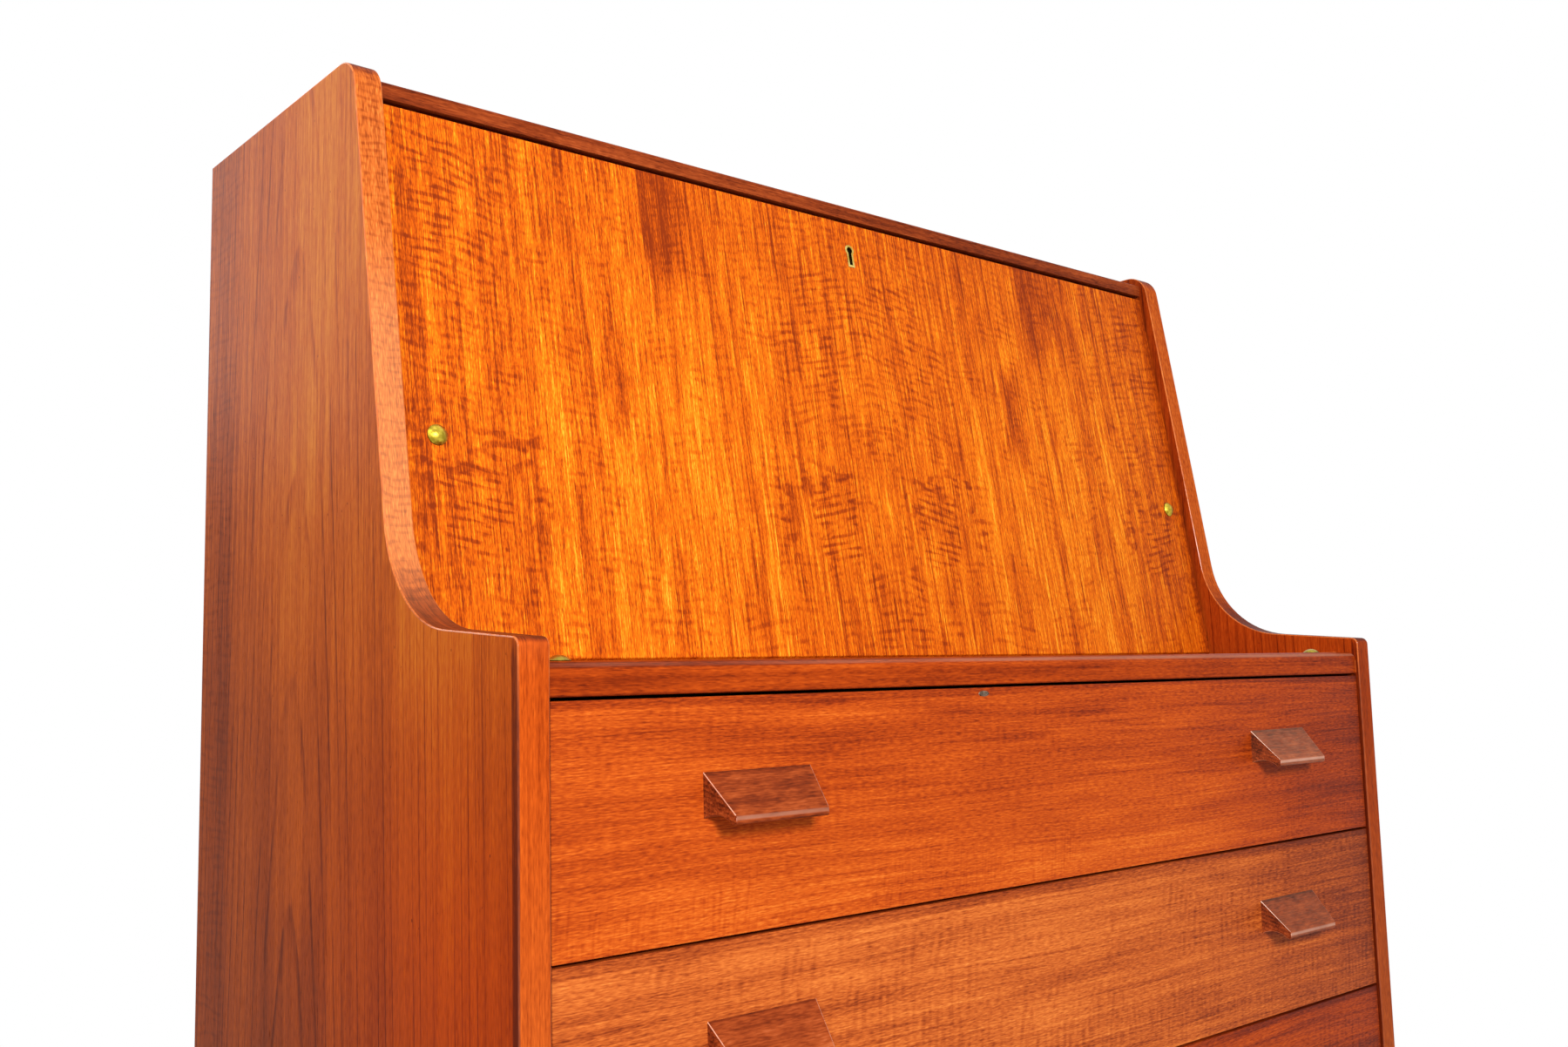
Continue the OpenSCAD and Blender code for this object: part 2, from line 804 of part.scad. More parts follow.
module drawer_back(i) {
    edge_x = box_in_x + back_lap;
    color(beech)
        block([-edge_x, box_end_y - back_in - box_t, box_z(i) + bottom_lift],
              [edge_x, box_end_y - back_in, box_z(i) + box_h - box_lift]);
}

module drawer_bottom(i) {
    edge_x = box_in_x + groove_d - shut_air;
    color(plywood)
        block([-edge_x, box_y - groove_d + shut_air, box_z(i) + groove_up],
              [edge_x, box_end_y - back_in, box_z(i) + bottom_lift]);
}

// Pull, seen from its end: a straight slope down to a lip, and a scoop for the fingers below
scoop_r = 16;
lip_land = 3;        // from the lip's face to the scoop
back_land = 0.5;     // from the drawer front to the scoop
lip_round = 2;
pull_screw = 28;
pull_screw_down = 16;
pull_screw_apart = 44;

module pull_outline(z) {
    lip_y = drawer_y - pull_reach;
    high = [drawer_y, z];
    lip = [lip_y, z - pull_fall];
    lip_foot = [lip_y, z - pull_fall - lip_h];
    from = [lip_y + lip_land, z - pull_fall - lip_h];
    to = [drawer_y - back_land, z - pull_h];
    down = unit([from[1] - to[1], to[0] - from[0]]) * -1;
    c = (from + to) / 2 + down * sqrt(pow(scoop_r, 2) - pow(norm(to - from) / 2, 2));
    polygon(concat(
        [high],
        rounded(lip, high, lip_foot, lip_round),
        rounded(lip_foot, lip, from, lip_round),
        arc(c, scoop_r, heading(from - c), shortest(heading(to - c) - heading(from - c))),
        [[drawer_y, z - pull_h]]
    ));
}

function pull_z(i) = front_z(i) + drawer_h - pull_drop;

module pull_screw_places(i) {
    left_and_right() for (x = [-1, 1])
        translate([pull_x + x * pull_screw_apart / 2, box_y, pull_z(i) - pull_screw_down])
            rotate([-90, 0, 0]) children();
}

// Room between a pull's two ends, which draw in from its back to its lip
module pull_ends(i) {
    draw_in = (pull_w - pull_lip_w) / 2 / pull_reach;
    back_x = pull_w / 2 + past * draw_in;
    lip_x = pull_lip_w / 2 - past * draw_in;
    reach = pull_reach + past;
    translate([pull_x, drawer_y, pull_z(i) - pull_fall - lip_h - past])
        linear_extrude(pull_fall + lip_h + 2 * past)
            polygon([[-back_x, past], [-lip_x, -reach], [lip_x, -reach], [back_x, past]]);
}

module drawer_pull(i) {
    end_x = pull_w / 2 + past;
    color(dark_teak) difference() {
        intersection() {
            along_x(pull_x - end_x, pull_x + end_x) pull_outline(pull_z(i));
            pull_ends(i);
        }
        pull_screw_places(i) screw_hole(pull_screw, screw_r, head_r);
    }
}

module drawer_pull_screws(i) {
    color(steel) pull_screw_places(i) screw(pull_screw, screw_r, head_r);
}

// ---- runners, fixed to the sides ----

runner_y = box_y + runner_in;
runner_x = box_x - runner_reach;

module runner_screw_places() {
    low = runner_y + runner_screw_in;
    step = (inside_back_y - runner_screw_in - low) / 2;
    for (i = [0 : drawers - 1], k = [0 : 2])
        translate([runner_x, low + k * step, runner_z(i) + runner_h / 2]) rotate([0, -90, 0]) children();
}

module runners() {
    color(beech) difference() {
        for (i = [0 : drawers - 1])
            block([runner_x, runner_y, runner_z(i)], [half_in, inside_back_y, runner_z(i) + runner_h]);
        runner_screw_places() screw_hole(runner_screw, screw_r, head_r);
    }
}

module runners_left() {
    mirror([1, 0, 0]) runners();
}

module runners_right() {
    runners();
}

module runner_screws() {
    color(steel) left_and_right() runner_screw_places() screw(runner_screw, screw_r, head_r);
}

// ---- base ----

leg_x = half_w - leg_in;
leg_front_y = front_y + leg_in;
leg_back_y = back_y - leg_in;
leg_straight = rail_h + 10;
tenon_r = 8;
tenon_l = 10;
tenon_z = leg_h - rail_h / 2;
base_screw = 38;
base_screw_sink = 22;   // how far the base screws' heads are sunk into the rails
base_screw_in = 90;

// A round tenon's place in a leg's side; the hole is deeper than the tenon by air
module leg(x, y) {
    toward_x = x > 0 ? 180 : 0;
    toward_y = y > 0 ? -90 : 90;
    color(dark_teak) translate([x, y, 0]) difference() {
        union() {
            cylinder(r1 = leg_foot_r, r2 = leg_top_r, h = leg_h - leg_straight);
            translate([0, 0, leg_h - leg_straight]) cylinder(r = leg_top_r, h = leg_straight);
        }
        for (a = [toward_x, toward_y]) rotate([0, 0, a]) translate([leg_top_r - tenon_l, 0, tenon_z])
            rotate([0, 90, 0]) cylinder(r = tenon_r + fit_air, h = tenon_l + past);
    }
}

// A rail of the given span between two legs' centres, along X from the first
module base_rail(span) {
    reach = leg_top_r + fit_air;
    difference() {
        block([0, -rail_t / 2, leg_h - rail_h], [span, rail_t / 2, leg_h]);
        for (x = [0, span]) translate([x, 0, leg_h - rail_h - past]) cylinder(r = reach, h = rail_h + 2 * past);
    }
    for (x = [0, span]) translate([x, 0, tenon_z]) rotate([0, x == 0 ? 90 : -90, 0])
        translate([0, 0, leg_top_r - tenon_l + fit_air]) cylinder(r = tenon_r, h = tenon_l + rail_t / 2);
}

module base_rail_x(y) {
    color(dark_teak) difference() {
        translate([-leg_x, y, 0]) base_rail(2 * leg_x);
        base_screw_places() screw_pocket();
    }
}

module base_rail_y(x) {
    color(dark_teak) difference() {
        translate([x, leg_front_y, 0]) rotate([0, 0, 90]) base_rail(leg_back_y - leg_front_y);
        base_screw_places() screw_pocket();
    }
}

module screw_pocket() {
    screw_hole(base_screw, long_screw_r, long_head_r);
    cylinder(r = long_head_r + fit_air, h = rail_h);
}

module base_screw_places() {
    z = leg_h - rail_h + base_screw_sink;
    for (x = [-1, 1], y = [leg_front_y, leg_back_y])
        translate([x * (leg_x - base_screw_in), y, z]) rotate([180, 0, 0]) children();
    for (x = [-leg_x, leg_x], y = [leg_front_y + base_screw_in, leg_back_y - base_screw_in])
        translate([x, y, z]) rotate([180, 0, 0]) children();
}

module base_screws() {
    color(steel) base_screw_places() screw(base_screw, long_screw_r, long_head_r);
}

// ---- nodes ----

side_left();
side_right();
top_panel();
ledge_board();
bottom_panel();
back_panel();
writing_floor();
floor_battens();
pigeonhole_shelf();
pigeonhole_dividers();
runners_left();
runners_right();
back_screws();
runner_screws();
base_screws();
base_rail_x(leg_front_y);  // base_rail_front
base_rail_x(leg_back_y);  // base_rail_back
base_rail_y(-leg_x);  // base_rail_left
base_rail_y(leg_x);  // base_rail_right
leg(-leg_x, leg_front_y);  // leg_front_left
leg(leg_x, leg_front_y);  // leg_front_right
leg(-leg_x, leg_back_y);  // leg_back_left
leg(leg_x, leg_back_y);  // leg_back_right
ledge_studs();
pivot_bushes();
strike_plate();
strike_screws();
fall_panel();
fall_studs();
escutcheon();
pivot_pins();
lock_case();
lock_cover();
lock_screws();
lock_bolt();
for (i = [0 : drawers - 1]) {
    name = str("drawer_", i + 1);
    drawer_front(i);
    mirror([1, 0, 0]) drawer_side(i);
    drawer_side(i);
    drawer_back(i);
    drawer_bottom(i);
    mirror([1, 0, 0]) drawer_pull(i);
    drawer_pull(i);
    drawer_pull_screws(i);
}
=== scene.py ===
"""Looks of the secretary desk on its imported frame, from the photograph's viewpoint.

Figured teak veneers, solid teak, brass, beech, plywood and steel, under soft studio light.
Lengths are in metres. Seeds only shift a piece's grain, so that no two pieces are alike.
"""

import math

import bmesh
import bpy
from mathutils import Matrix, Vector


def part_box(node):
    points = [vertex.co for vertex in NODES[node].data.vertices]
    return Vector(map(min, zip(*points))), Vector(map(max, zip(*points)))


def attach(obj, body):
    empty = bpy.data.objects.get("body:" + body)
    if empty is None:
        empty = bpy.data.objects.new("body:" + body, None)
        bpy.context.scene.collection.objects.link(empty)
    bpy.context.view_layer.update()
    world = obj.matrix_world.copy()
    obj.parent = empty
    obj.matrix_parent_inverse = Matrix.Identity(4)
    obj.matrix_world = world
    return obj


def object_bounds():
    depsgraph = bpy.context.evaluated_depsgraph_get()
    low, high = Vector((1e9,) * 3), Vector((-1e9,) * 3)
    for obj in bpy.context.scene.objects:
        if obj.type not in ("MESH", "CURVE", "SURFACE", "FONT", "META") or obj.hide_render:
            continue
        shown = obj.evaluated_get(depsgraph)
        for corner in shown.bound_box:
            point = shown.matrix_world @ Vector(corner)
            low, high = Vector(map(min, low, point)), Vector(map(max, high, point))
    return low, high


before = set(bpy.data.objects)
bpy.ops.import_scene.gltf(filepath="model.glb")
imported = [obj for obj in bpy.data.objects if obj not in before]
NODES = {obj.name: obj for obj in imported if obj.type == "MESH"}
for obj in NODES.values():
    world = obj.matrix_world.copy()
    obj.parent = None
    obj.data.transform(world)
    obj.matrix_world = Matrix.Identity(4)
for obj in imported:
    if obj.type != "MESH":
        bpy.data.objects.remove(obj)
cad_low, cad_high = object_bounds()

SCENE = bpy.context.scene
ALONG_X, ALONG_Y, ALONG_Z = Vector((1, 0, 0)), Vector((0, 1, 0)), Vector((0, 0, 1))
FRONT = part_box("side_left")[0].y  # of the sides
BACK = cad_high.y
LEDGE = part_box("ledge_board")[1].z  # height of the ledge's top
LEAN = math.radians(9.3)  # of the sides' slanted edges and of the fall
LEAF = 0.226  # width of each leaf of the fall's veneer
PLY = 0.0012  # thickness of plywood's plies
SHARP = math.radians(35)  # edges sharper than this are arrises
WELD_DISTANCE = 0.00002  # vertices nearer than this are merged before rounding
FLAT_ANGLE = math.radians(0.5)  # and so are faces that bend less than this


def srgb(red, green, blue):
    """A colour written as on a screen, 0 to 255, as the linear values that nodes take."""

    def linear(level):
        level /= 255
        return level / 12.92 if level <= 0.04045 else ((level + 0.055) / 1.055) ** 2.4

    return (linear(red), linear(green), linear(blue), 1.0)


# ---------------------------------------------------------------- building materials from nodes


class Value:
    """A number that varies over a surface. Arithmetic on it adds nodes to its material."""

    def __init__(self, shade, socket):
        self.shade, self.socket = shade, socket

    def __add__(self, other):
        return self.shade.math("ADD", self, other)

    __radd__ = __add__

    def __sub__(self, other):
        return self.shade.math("SUBTRACT", self, other)

    def __rsub__(self, other):
        return self.shade.math("SUBTRACT", other, self)

    def __mul__(self, other):
        return self.shade.math("MULTIPLY", self, other)

    __rmul__ = __mul__

    def __truediv__(self, other):
        return self.shade.math("DIVIDE", self, other)

    def absolute(self):
        return self.shade.math("ABSOLUTE", self)

    def rise(self, low, high):
        """0 at low, 1 at high and smooth between; low may be the greater."""
        made = self.shade.node(
            "ShaderNodeMapRange",
            {"Value": self, "From Min": low, "From Max": high},
            interpolation_type="SMOOTHSTEP",
        )
        return Value(self.shade, made.outputs["Result"])

    def near(self, middle, half, soft):
        """1 within half of middle, falling to 0 over soft."""
        return (self - middle).absolute().rise(half + soft, half)


class Shade:
    """One material and short calls that add its nodes."""

    def __init__(self, name):
        self.material = bpy.data.materials.new(name)
        self.material.use_nodes = True
        self.tree = self.material.node_tree
        self.tree.nodes.clear()
        self.shader = self.node("ShaderNodeBsdfPrincipled")
        surface = {"Surface": self.shader.outputs["BSDF"]}
        self.output = self.node("ShaderNodeOutputMaterial", surface)

    def put(self, socket, value):
        """Links a value to a socket, or sets the socket to a constant."""
        if isinstance(value, Value):
            value = value.socket
        if isinstance(value, bpy.types.NodeSocket):
            self.tree.links.new(value, socket)
        else:
            socket.default_value = value

    def node(self, kind, inputs=None, **settings):
        """A new node with its settings, and its inputs by name or number."""
        made = self.tree.nodes.new(kind)
        for key, value in settings.items():
            setattr(made, key, value)
        for key, value in (inputs or {}).items():
            self.put(made.inputs[key], value)
        return made

    def math(self, operation, *values):
        made = self.node("ShaderNodeMath", dict(enumerate(values)), operation=operation)
        return Value(self, made.outputs[0])

    def vector(self, operation, *values):
        made = self.node("ShaderNodeVectorMath", dict(enumerate(values)), operation=operation)
        return made.outputs["Value" if operation in ("DOT_PRODUCT", "LENGTH") else "Vector"]

    def coordinates(self, kind="Object"):
        return self.node("ShaderNodeTexCoord").outputs[kind]

    def place(self, axis):
        """How far along an axis a place is."""
        return Value(self, self.vector("DOT_PRODUCT", self.coordinates(), axis))

    def facing(self, axis):
        """How much the surface looks along an axis: 1 straight along it, -1 straight against."""
        return Value(self, self.vector("DOT_PRODUCT", self.coordinates("Normal"), axis))

    def noise(self, where, detail=2.0, roughness=0.5):
        """Smooth noise about 0, mostly within 0.3 either way."""
        made = self.node(
            "ShaderNodeTexNoise",
            {"Vector": where, "Scale": 1.0, "Detail": detail, "Roughness": roughness},
        )
        return Value(self, made.outputs[0]) - 0.5

    def ramp(self, value, palette):
        """The palette's colours, evenly spaced from value 0 to value 1."""
        made = self.node("ShaderNodeValToRGB", {"Fac": value})
        elements = made.color_ramp.elements
        while len(elements) < len(palette):
            elements.new(1.0)
        for index, (element, colour) in enumerate(zip(elements, palette)):
            element.position, element.color = index / (len(palette) - 1), colour
        return made.outputs["Color"]

    def mix(self, share, one, other):
        """One colour, and the other where share is 1."""
        made = self.node("ShaderNodeMix", {"Factor": share}, data_type="RGBA")
        self.put(made.inputs[6], one)
        self.put(made.inputs[7], other)
        return made.outputs[2]

    def bump(self, height, depth):
        """Relief of this depth where height goes from 0 to 1."""
        made = self.node("ShaderNodeBump", {"Height": height, "Distance": depth})
        self.put(self.shader.inputs["Normal"], made.outputs["Normal"])

    def finish(self, colour, rough, specular, metallic=0.0):
        self.put(self.shader.inputs["Base Color"], colour)
        self.put(self.shader.inputs["Roughness"], rough)
        self.shader.inputs["Specular IOR Level"].default_value = specular
        self.shader.inputs["Metallic"].default_value = metallic
        return self.material


SEED_STEP = 7.3  # moves each new noise of a board away from the last one
FLAT_DEPTH = 0.2  # how far through a flat board its figure goes before it changes


class Board:
    """Places in a piece of wood, along its grain, across it and through it.

    wander is how far the grain strays sideways. A folded board is a row of book-matched leaves,
    each fold wide, and plain_across is the place across all of them. A flat board's figure hardly
    changes through it.
    """

    def __init__(self, shade, along, across, seed, wander=0.004, fold=None, flat=False):
        self.shade, self.seed, self.flat = shade, seed, flat
        axes = (along, across, along.cross(across))
        self.along, self.across, self.through = (shade.place(axis) for axis in axes)
        self.plain_across = self.across
        if fold:
            # Each leaf is a slice a little deeper, and the outer ones are from another part.
            outer = self.across.absolute().rise(fold, fold + 0.0001)
            turned = shade.math("FLOOR", self.across / fold)
            self.through = self.through + outer * 0.4 + turned * 0.0035
            self.across = shade.math("PINGPONG", self.across, fold)
        self.across = self.across + self.noise(0.35, 0.06, detail=1) * wander

    def noise(self, length, width, detail=2.0, roughness=0.5):
        """Noise stretched to length along the grain and width across it."""
        self.seed += SEED_STEP
        axes = dict(enumerate((self.along, self.across, self.through)))
        place = self.shade.node("ShaderNodeCombineXYZ", axes).outputs[0]
        sizes = (1 / length, 1 / width, 1 / FLAT_DEPTH if self.flat else 1 / width)
        scaled = self.shade.vector("MULTIPLY_ADD", place, sizes, (self.seed,) * 3)
        return self.shade.noise(scaled, detail, roughness)

    def bars(self, pitch, reach, slope=0.0, sway=2.5, hard=-0.4):
        """Dark bars of ripple figure across the grain, 0 to 1, broken at random.

        They are about pitch apart and reach long, slope along the grain by slope and swing along
        it by sway. A lower hard makes them softer.
        """
        swing = self.noise(pitch * 7, reach * 2.5, detail=1) * sway
        turns = (self.along + self.across * slope) / pitch + swing
        wave = self.shade.math("SINE", turns * (2 * math.pi))
        broken = self.noise(pitch * 1.1, reach, detail=1).rise(-0.1, 0.1)
        return wave.rise(hard, 0.9) * broken

    def threads(self, length, width, thin):
        """Long thin dark lines, 0 to 1, about width apart."""
        drift = self.noise(length, width, detail=1.5)
        strength = self.noise(length * 0.4, width, detail=1).rise(-0.14, 0.14)
        return drift.near(0.0, 0.0, thin) * strength

    def spots(self, length, width):
        """Soft dark blotches, 0 to 1."""
        return self.noise(length, width, detail=0).rise(0.02, 0.2)

    def pores(self, width=0.0007):
        """Short dark dashes of cut vessels, 0 to 1."""
        return self.noise(0.009, width, detail=1).rise(0.08, 0.24)


def arches(board, heart, depth, slope, spacing):
    """Growth rings of a flat-sawn board, 0 to 1, about spacing apart.

    They are pointed arches about its heart line, and nearly straight lines away from it. The heart
    runs depth under the face, and slope deeper for every metre along the board.
    """
    shade = board.shade
    sunk = board.along * slope + depth
    side = board.across - heart
    radius = shade.math("SQRT", side * side + sunk * sunk)
    drift = board.noise(0.25, 0.04) * (spacing * 0.4)
    year = shade.math("FRACT", (radius + drift) / spacing)
    late = year.rise(0.76, 0.95) * year.rise(1.0, 0.96)
    strength = board.noise(0.3, 0.012, detail=1) * 2.4 + 0.55
    return late * strength.rise(0.0, 1.0)


def wood(shade, tone, palette, pores, grain, rough, specular, hole_shade=None):
    """Finishes wood from its tone (0 dark, 1 light), its palette from dark to light, and its pores.

    It is painted black, as the shade in a hole, where its last argument is 1.
    """
    colour = shade.ramp(tone - pores * 0.22, palette)
    if hole_shade:
        colour = shade.mix(hole_shade, colour, KEYHOLE_SHADE)
    shade.bump(grain * 0.35 - pores, depth=0.00006)
    return shade.finish(colour, pores * 0.25 + grain * 0.15 + rough, specular)


# ---------------------------------------------------------------- teak

# In the tones below, a length says where a feature lies or how far it reaches, and the factor at
# its end says how strong it is. Palettes go from dark to light.
FALL_TEAK = (
    srgb(132, 46, 10),
    srgb(180, 71, 9),
    srgb(217, 99, 13),
    srgb(240, 134, 20),
    srgb(252, 178, 50),
)
SIDE_TEAK = (
    srgb(104, 38, 8),
    srgb(150, 62, 12),
    srgb(188, 87, 20),
    srgb(208, 115, 31),
    srgb(226, 140, 50),
)
LOW_TEAK = (
    srgb(98, 28, 1),
    srgb(146, 46, 2),
    srgb(186, 67, 3),
    srgb(210, 94, 8),
    srgb(232, 128, 24),
)
EDGE_TEAK = (
    srgb(112, 44, 18),
    srgb(160, 72, 28),
    srgb(200, 101, 40),
    srgb(228, 134, 60),
    srgb(246, 168, 92),
)
RED_TEAK = (
    srgb(92, 26, 8),
    srgb(132, 44, 10),
    srgb(168, 64, 14),
    srgb(196, 86, 22),
    srgb(216, 114, 38),
)
WARM_TEAK = (
    srgb(100, 36, 14),
    srgb(144, 60, 22),
    srgb(184, 88, 34),
    srgb(210, 114, 48),
    srgb(230, 144, 70),
)
DARK_TEAK = (
    srgb(48, 16, 8),
    srgb(88, 31, 12),
    srgb(128, 51, 20),
    srgb(160, 72, 31),
    srgb(186, 98, 54),
)
HIGHLIGHT_TEAK = (
    srgb(136, 70, 44),
    srgb(178, 106, 76),
    srgb(208, 140, 108),
    srgb(230, 172, 142),
    srgb(246, 204, 180),
)


KEYHOLE_SHADE = srgb(22, 20, 12)  # painted shade inside the keyhole
SLANT_SHEEN = srgb(255, 206, 158)  # painted sheen low on the slanted edges
NOSE_HIGHLIGHT = srgb(170, 122, 100)  # painted highlight on the ledge's nose
SHEEN_GREY = srgb(196, 144, 112)  # painted sheen that greys some pulls
LIP_HIGHLIGHT, SHEENED_LIP_HIGHLIGHT = srgb(160, 104, 82), srgb(216, 168, 146)  # painted lip highlight: plain, sheened
RIM_SHADE = srgb(64, 44, 12)  # painted shade and dark reflection at the studs' rims


def streaky(board, broad, lines, fibres):
    """A tone of straight teak grain about 0.5: broad bands, fine lines and fibres."""
    bands = board.noise(0.7, 0.035) * broad
    stripes = board.noise(0.45, 0.0055, detail=2.5) * lines
    hairs = board.noise(0.2, 0.0014, detail=1.5) * (lines * 0.8)
    flecks = board.noise(0.007, 0.0011, detail=1.5) * fibres
    return bands + stripes + hairs + flecks + 0.5


def teak_fall():
    """Four book-matched leaves of figured veneer, upright on the slanted fall."""
    upright = Vector((0, math.sin(LEAN), math.cos(LEAN)))
    inward = upright.cross(ALONG_X)
    corners = [vertex.co for vertex in NODES["fall_panel"].data.vertices]
    top = max(corner.dot(upright) for corner in corners)
    front = min(corner.dot(inward) for corner in corners)

    shade = Shade("teak_fall")
    board = Board(shade, upright, ALONG_X, seed=11.0, wander=0.006, fold=LEAF)
    right = board.plain_across
    below = top - board.along
    seam = LEAF - board.across  # distance from the outer seams of the leaves
    turned = shade.math("FLOORED_MODULO", shade.math("FLOOR", right / LEAF), 2.0)

    fine = board.noise(0.004, 0.0007, detail=1, roughness=0.6)
    hairs = board.noise(0.03, 0.0009, detail=1)
    flames = board.noise(0.06, 0.009, detail=2.5)
    tone = board.noise(0.25, 0.0024, detail=1) * 0.5 + board.noise(0.3, 0.016, detail=1) * 0.25
    tone = tone + fine * 0.9 + hairs * 1.1 + flames * 0.4 + 0.51
    tone = tone - board.threads(0.5, 0.007, thin=0.05) * 0.25
    tone = tone - board.threads(0.2, 0.004, thin=0.05) * 0.2

    # Darker bands and brighter streaks run with the grain in every leaf, and one dark streak near
    # the left end.
    broken = board.noise(0.09, 0.006) * 2.5 + 0.8
    tone = tone - seam.near(0.071, 0.003, 0.014) * 0.09 * broken
    tone = tone - seam.near(0.134, 0.0005, 0.002) * 0.2 * broken
    tone = tone + seam.near(0.035, 0.02, 0.025) * below.rise(0.05, 0.2) * 0.1
    tone = tone + seam.near(0.094, 0.003, 0.012) * below.rise(0.08, 0.2) * 0.14
    streak = right.near(-0.424, 0.002, 0.008) * below.near(0.18, 0.1, 0.06)
    tone = tone - streak * (broken * 0.5 + 0.5) * 0.22

    # A dark flame beside every second seam, and a dark spindle in the leaves between.
    reach = board.noise(0.05, 0.008) * 0.08 + below
    flame = seam.rise(0.042, 0.018) * reach.rise(0.105, 0.055)
    haze = (seam + flames * 0.04).rise(0.085, 0.03) * reach.rise(0.13, 0.05)
    tone = tone - turned * (flame * 0.2 + haze * 0.14)
    spindle = (seam + flames * 0.02).near(0.038, 0.004, 0.012) * reach.near(0.165, 0.025, 0.04)
    tone = tone - (1 - turned) * spindle * 0.3

    # Ripple across the grain. In every leaf it is fine and fans down from the far seam in the upper
    # half, and is strongest in a patch of bars and dots level with the studs.
    edge = board.noise(0.04, 0.02)
    place = below + edge * 0.08
    inner = seam + edge * 0.05
    fan = board.bars(0.0072, 0.022, slope=0.2)
    upper = place.near(0.11, 0.08, 0.05) * inner.rise(0.1, 0.15)
    lower = place.near(0.355, 0.02, 0.03) * inner.rise(0.185, 0.205)
    corner = place.rise(0.16, 0.1) * right.rise(-0.33, -0.39)
    patchy = board.noise(0.06, 0.03).rise(-0.06, 0.12)
    tone = tone - fan * ((upper + lower) * (patchy * 0.5 + 0.5) + corner * 0.36) * 0.24
    bars = board.bars(0.0066, 0.024, slope=0.2, sway=1.0)
    patch = place.near(0.28, 0.028, 0.016) * inner.near(0.164, 0.022, 0.008)
    tone = tone - bars * patch * 0.3
    dots = board.spots(0.0062, 0.012)
    crown = place.near(0.243, 0.01, 0.012) * inner.near(0.16, 0.03, 0.012)
    column = place.near(0.268, 0.024, 0.014) * seam.near(0.113, 0.006, 0.006)
    core = place.near(0.275, 0.04, 0.03) * seam.near(0.203, 0.007, 0.006)
    tone = tone - dots * (crown + column + core * 0.8) * 0.24
    faint = board.bars(0.0078, 0.016, slope=0.1) * board.noise(0.06, 0.025).rise(-0.08, 0.12)
    tone = tone - faint * 0.17

    # Painted shade: the veneer darkens a little towards its top, under the top's lip, and towards
    # its right end, most of all close beside the right side.
    tone = tone - below.rise(0.12, 0.0) * 0.05 - right.rise(0.36, 0.44) * 0.1
    tone = tone - right.rise(0.422, 0.437) * 0.2

    # Painted shade blackens the walls of the keyhole.
    keyhole = right.absolute().rise(0.013, 0.012) * below.near(0.03, 0.016, 0.001)
    hole_shade = (shade.place(inward) - front).rise(0.0006, 0.0012) * keyhole
    pores = board.pores(0.0012)
    return wood(shade, tone, FALL_TEAK, pores, flames, rough=0.42, specular=0.05, hole_shade=hole_shade)


def side_figure(board):
    """The tone of a side's veneer: arches behind its middle, bars of ripple by its back, nicks."""
    up, back = board.along, board.across
    slope = 0.05
    depth = 0.1096 - slope * LEDGE  # the heart is 0.1096 under the face level with the ledge
    rings = arches(board, BACK - 0.182, depth, slope, spacing=0.0078)
    tone = streaky(board, broad=0.45, lines=0.26, fibres=0.4)
    cloud = board.noise(0.2, 0.12, detail=1) * 0.4
    # Painted light: the veneer is lighter towards its top.
    tone = tone + cloud - rings * 0.3 + up.rise(LEDGE - 0.35, LEDGE + 0.4) * 0.26 - 0.11
    streaks = board.noise(0.15, 0.0035, detail=2) * 0.6 + board.noise(0.03, 0.0009, detail=1) * 0.6
    tone = tone + streaks * up.rise(LEDGE - 0.2, LEDGE + 0.2)
    tone = tone - back.rise(BACK - 0.4, BACK - 0.02) * 0.17
    behind = back.rise(BACK - 0.09, BACK - 0.04)
    tone = tone - board.bars(0.007, 0.02) * behind * 0.07 - behind * 0.08
    nicks = board.noise(0.004, 0.0022, detail=0).rise(0.36, 0.38)
    return tone - nicks * 0.5


def side_lipping(shade, seed, levels, pink, slant_sheen):
    """The colour of the solid lipping along a side's narrow faces, whose grain is straighter."""
    board = Board(shade, ALONG_Z, ALONG_X, seed, wander=0.002, flat=True)
    up = board.along
    slanted = up.rise(LEDGE + 0.01, LEDGE + 0.06)
    tone = streaky(board, broad=0.4, lines=0.4, fibres=0.3)
    tone = tone - board.bars(0.0055, 0.012) * slanted * pink * 0.2
    tone = tone + board.noise(0.006, 0.0009, detail=1) * (slanted * 0.5 + 0.3)
    tone = tone + slanted * (levels[0] - levels[1]) + levels[1]
    # Painted shade: faces of the lipping that look up are darker.
    upward = shade.facing(ALONG_Z).rise(0.3, 0.9)
    tone = tone - up.rise(LEDGE + 0.06, LEDGE - 0.02) * 0.1 - upward * 0.4
    tone = tone - board.pores() * 0.12
    pinker = slanted * pink + up.rise(LEDGE - 0.02, LEDGE - 0.4) * 0.6 + 0.25
    colour = shade.mix(pinker, shade.ramp(tone, LOW_TEAK), shade.ramp(tone, EDGE_TEAK))
    # Painted sheen: the slanted part is pale and greyish low down.
    slant_sheen_share = up.near(LEDGE + 0.15, 0.06, 0.1) * slant_sheen
    return shade.mix(slant_sheen_share, colour, SLANT_SHEEN)


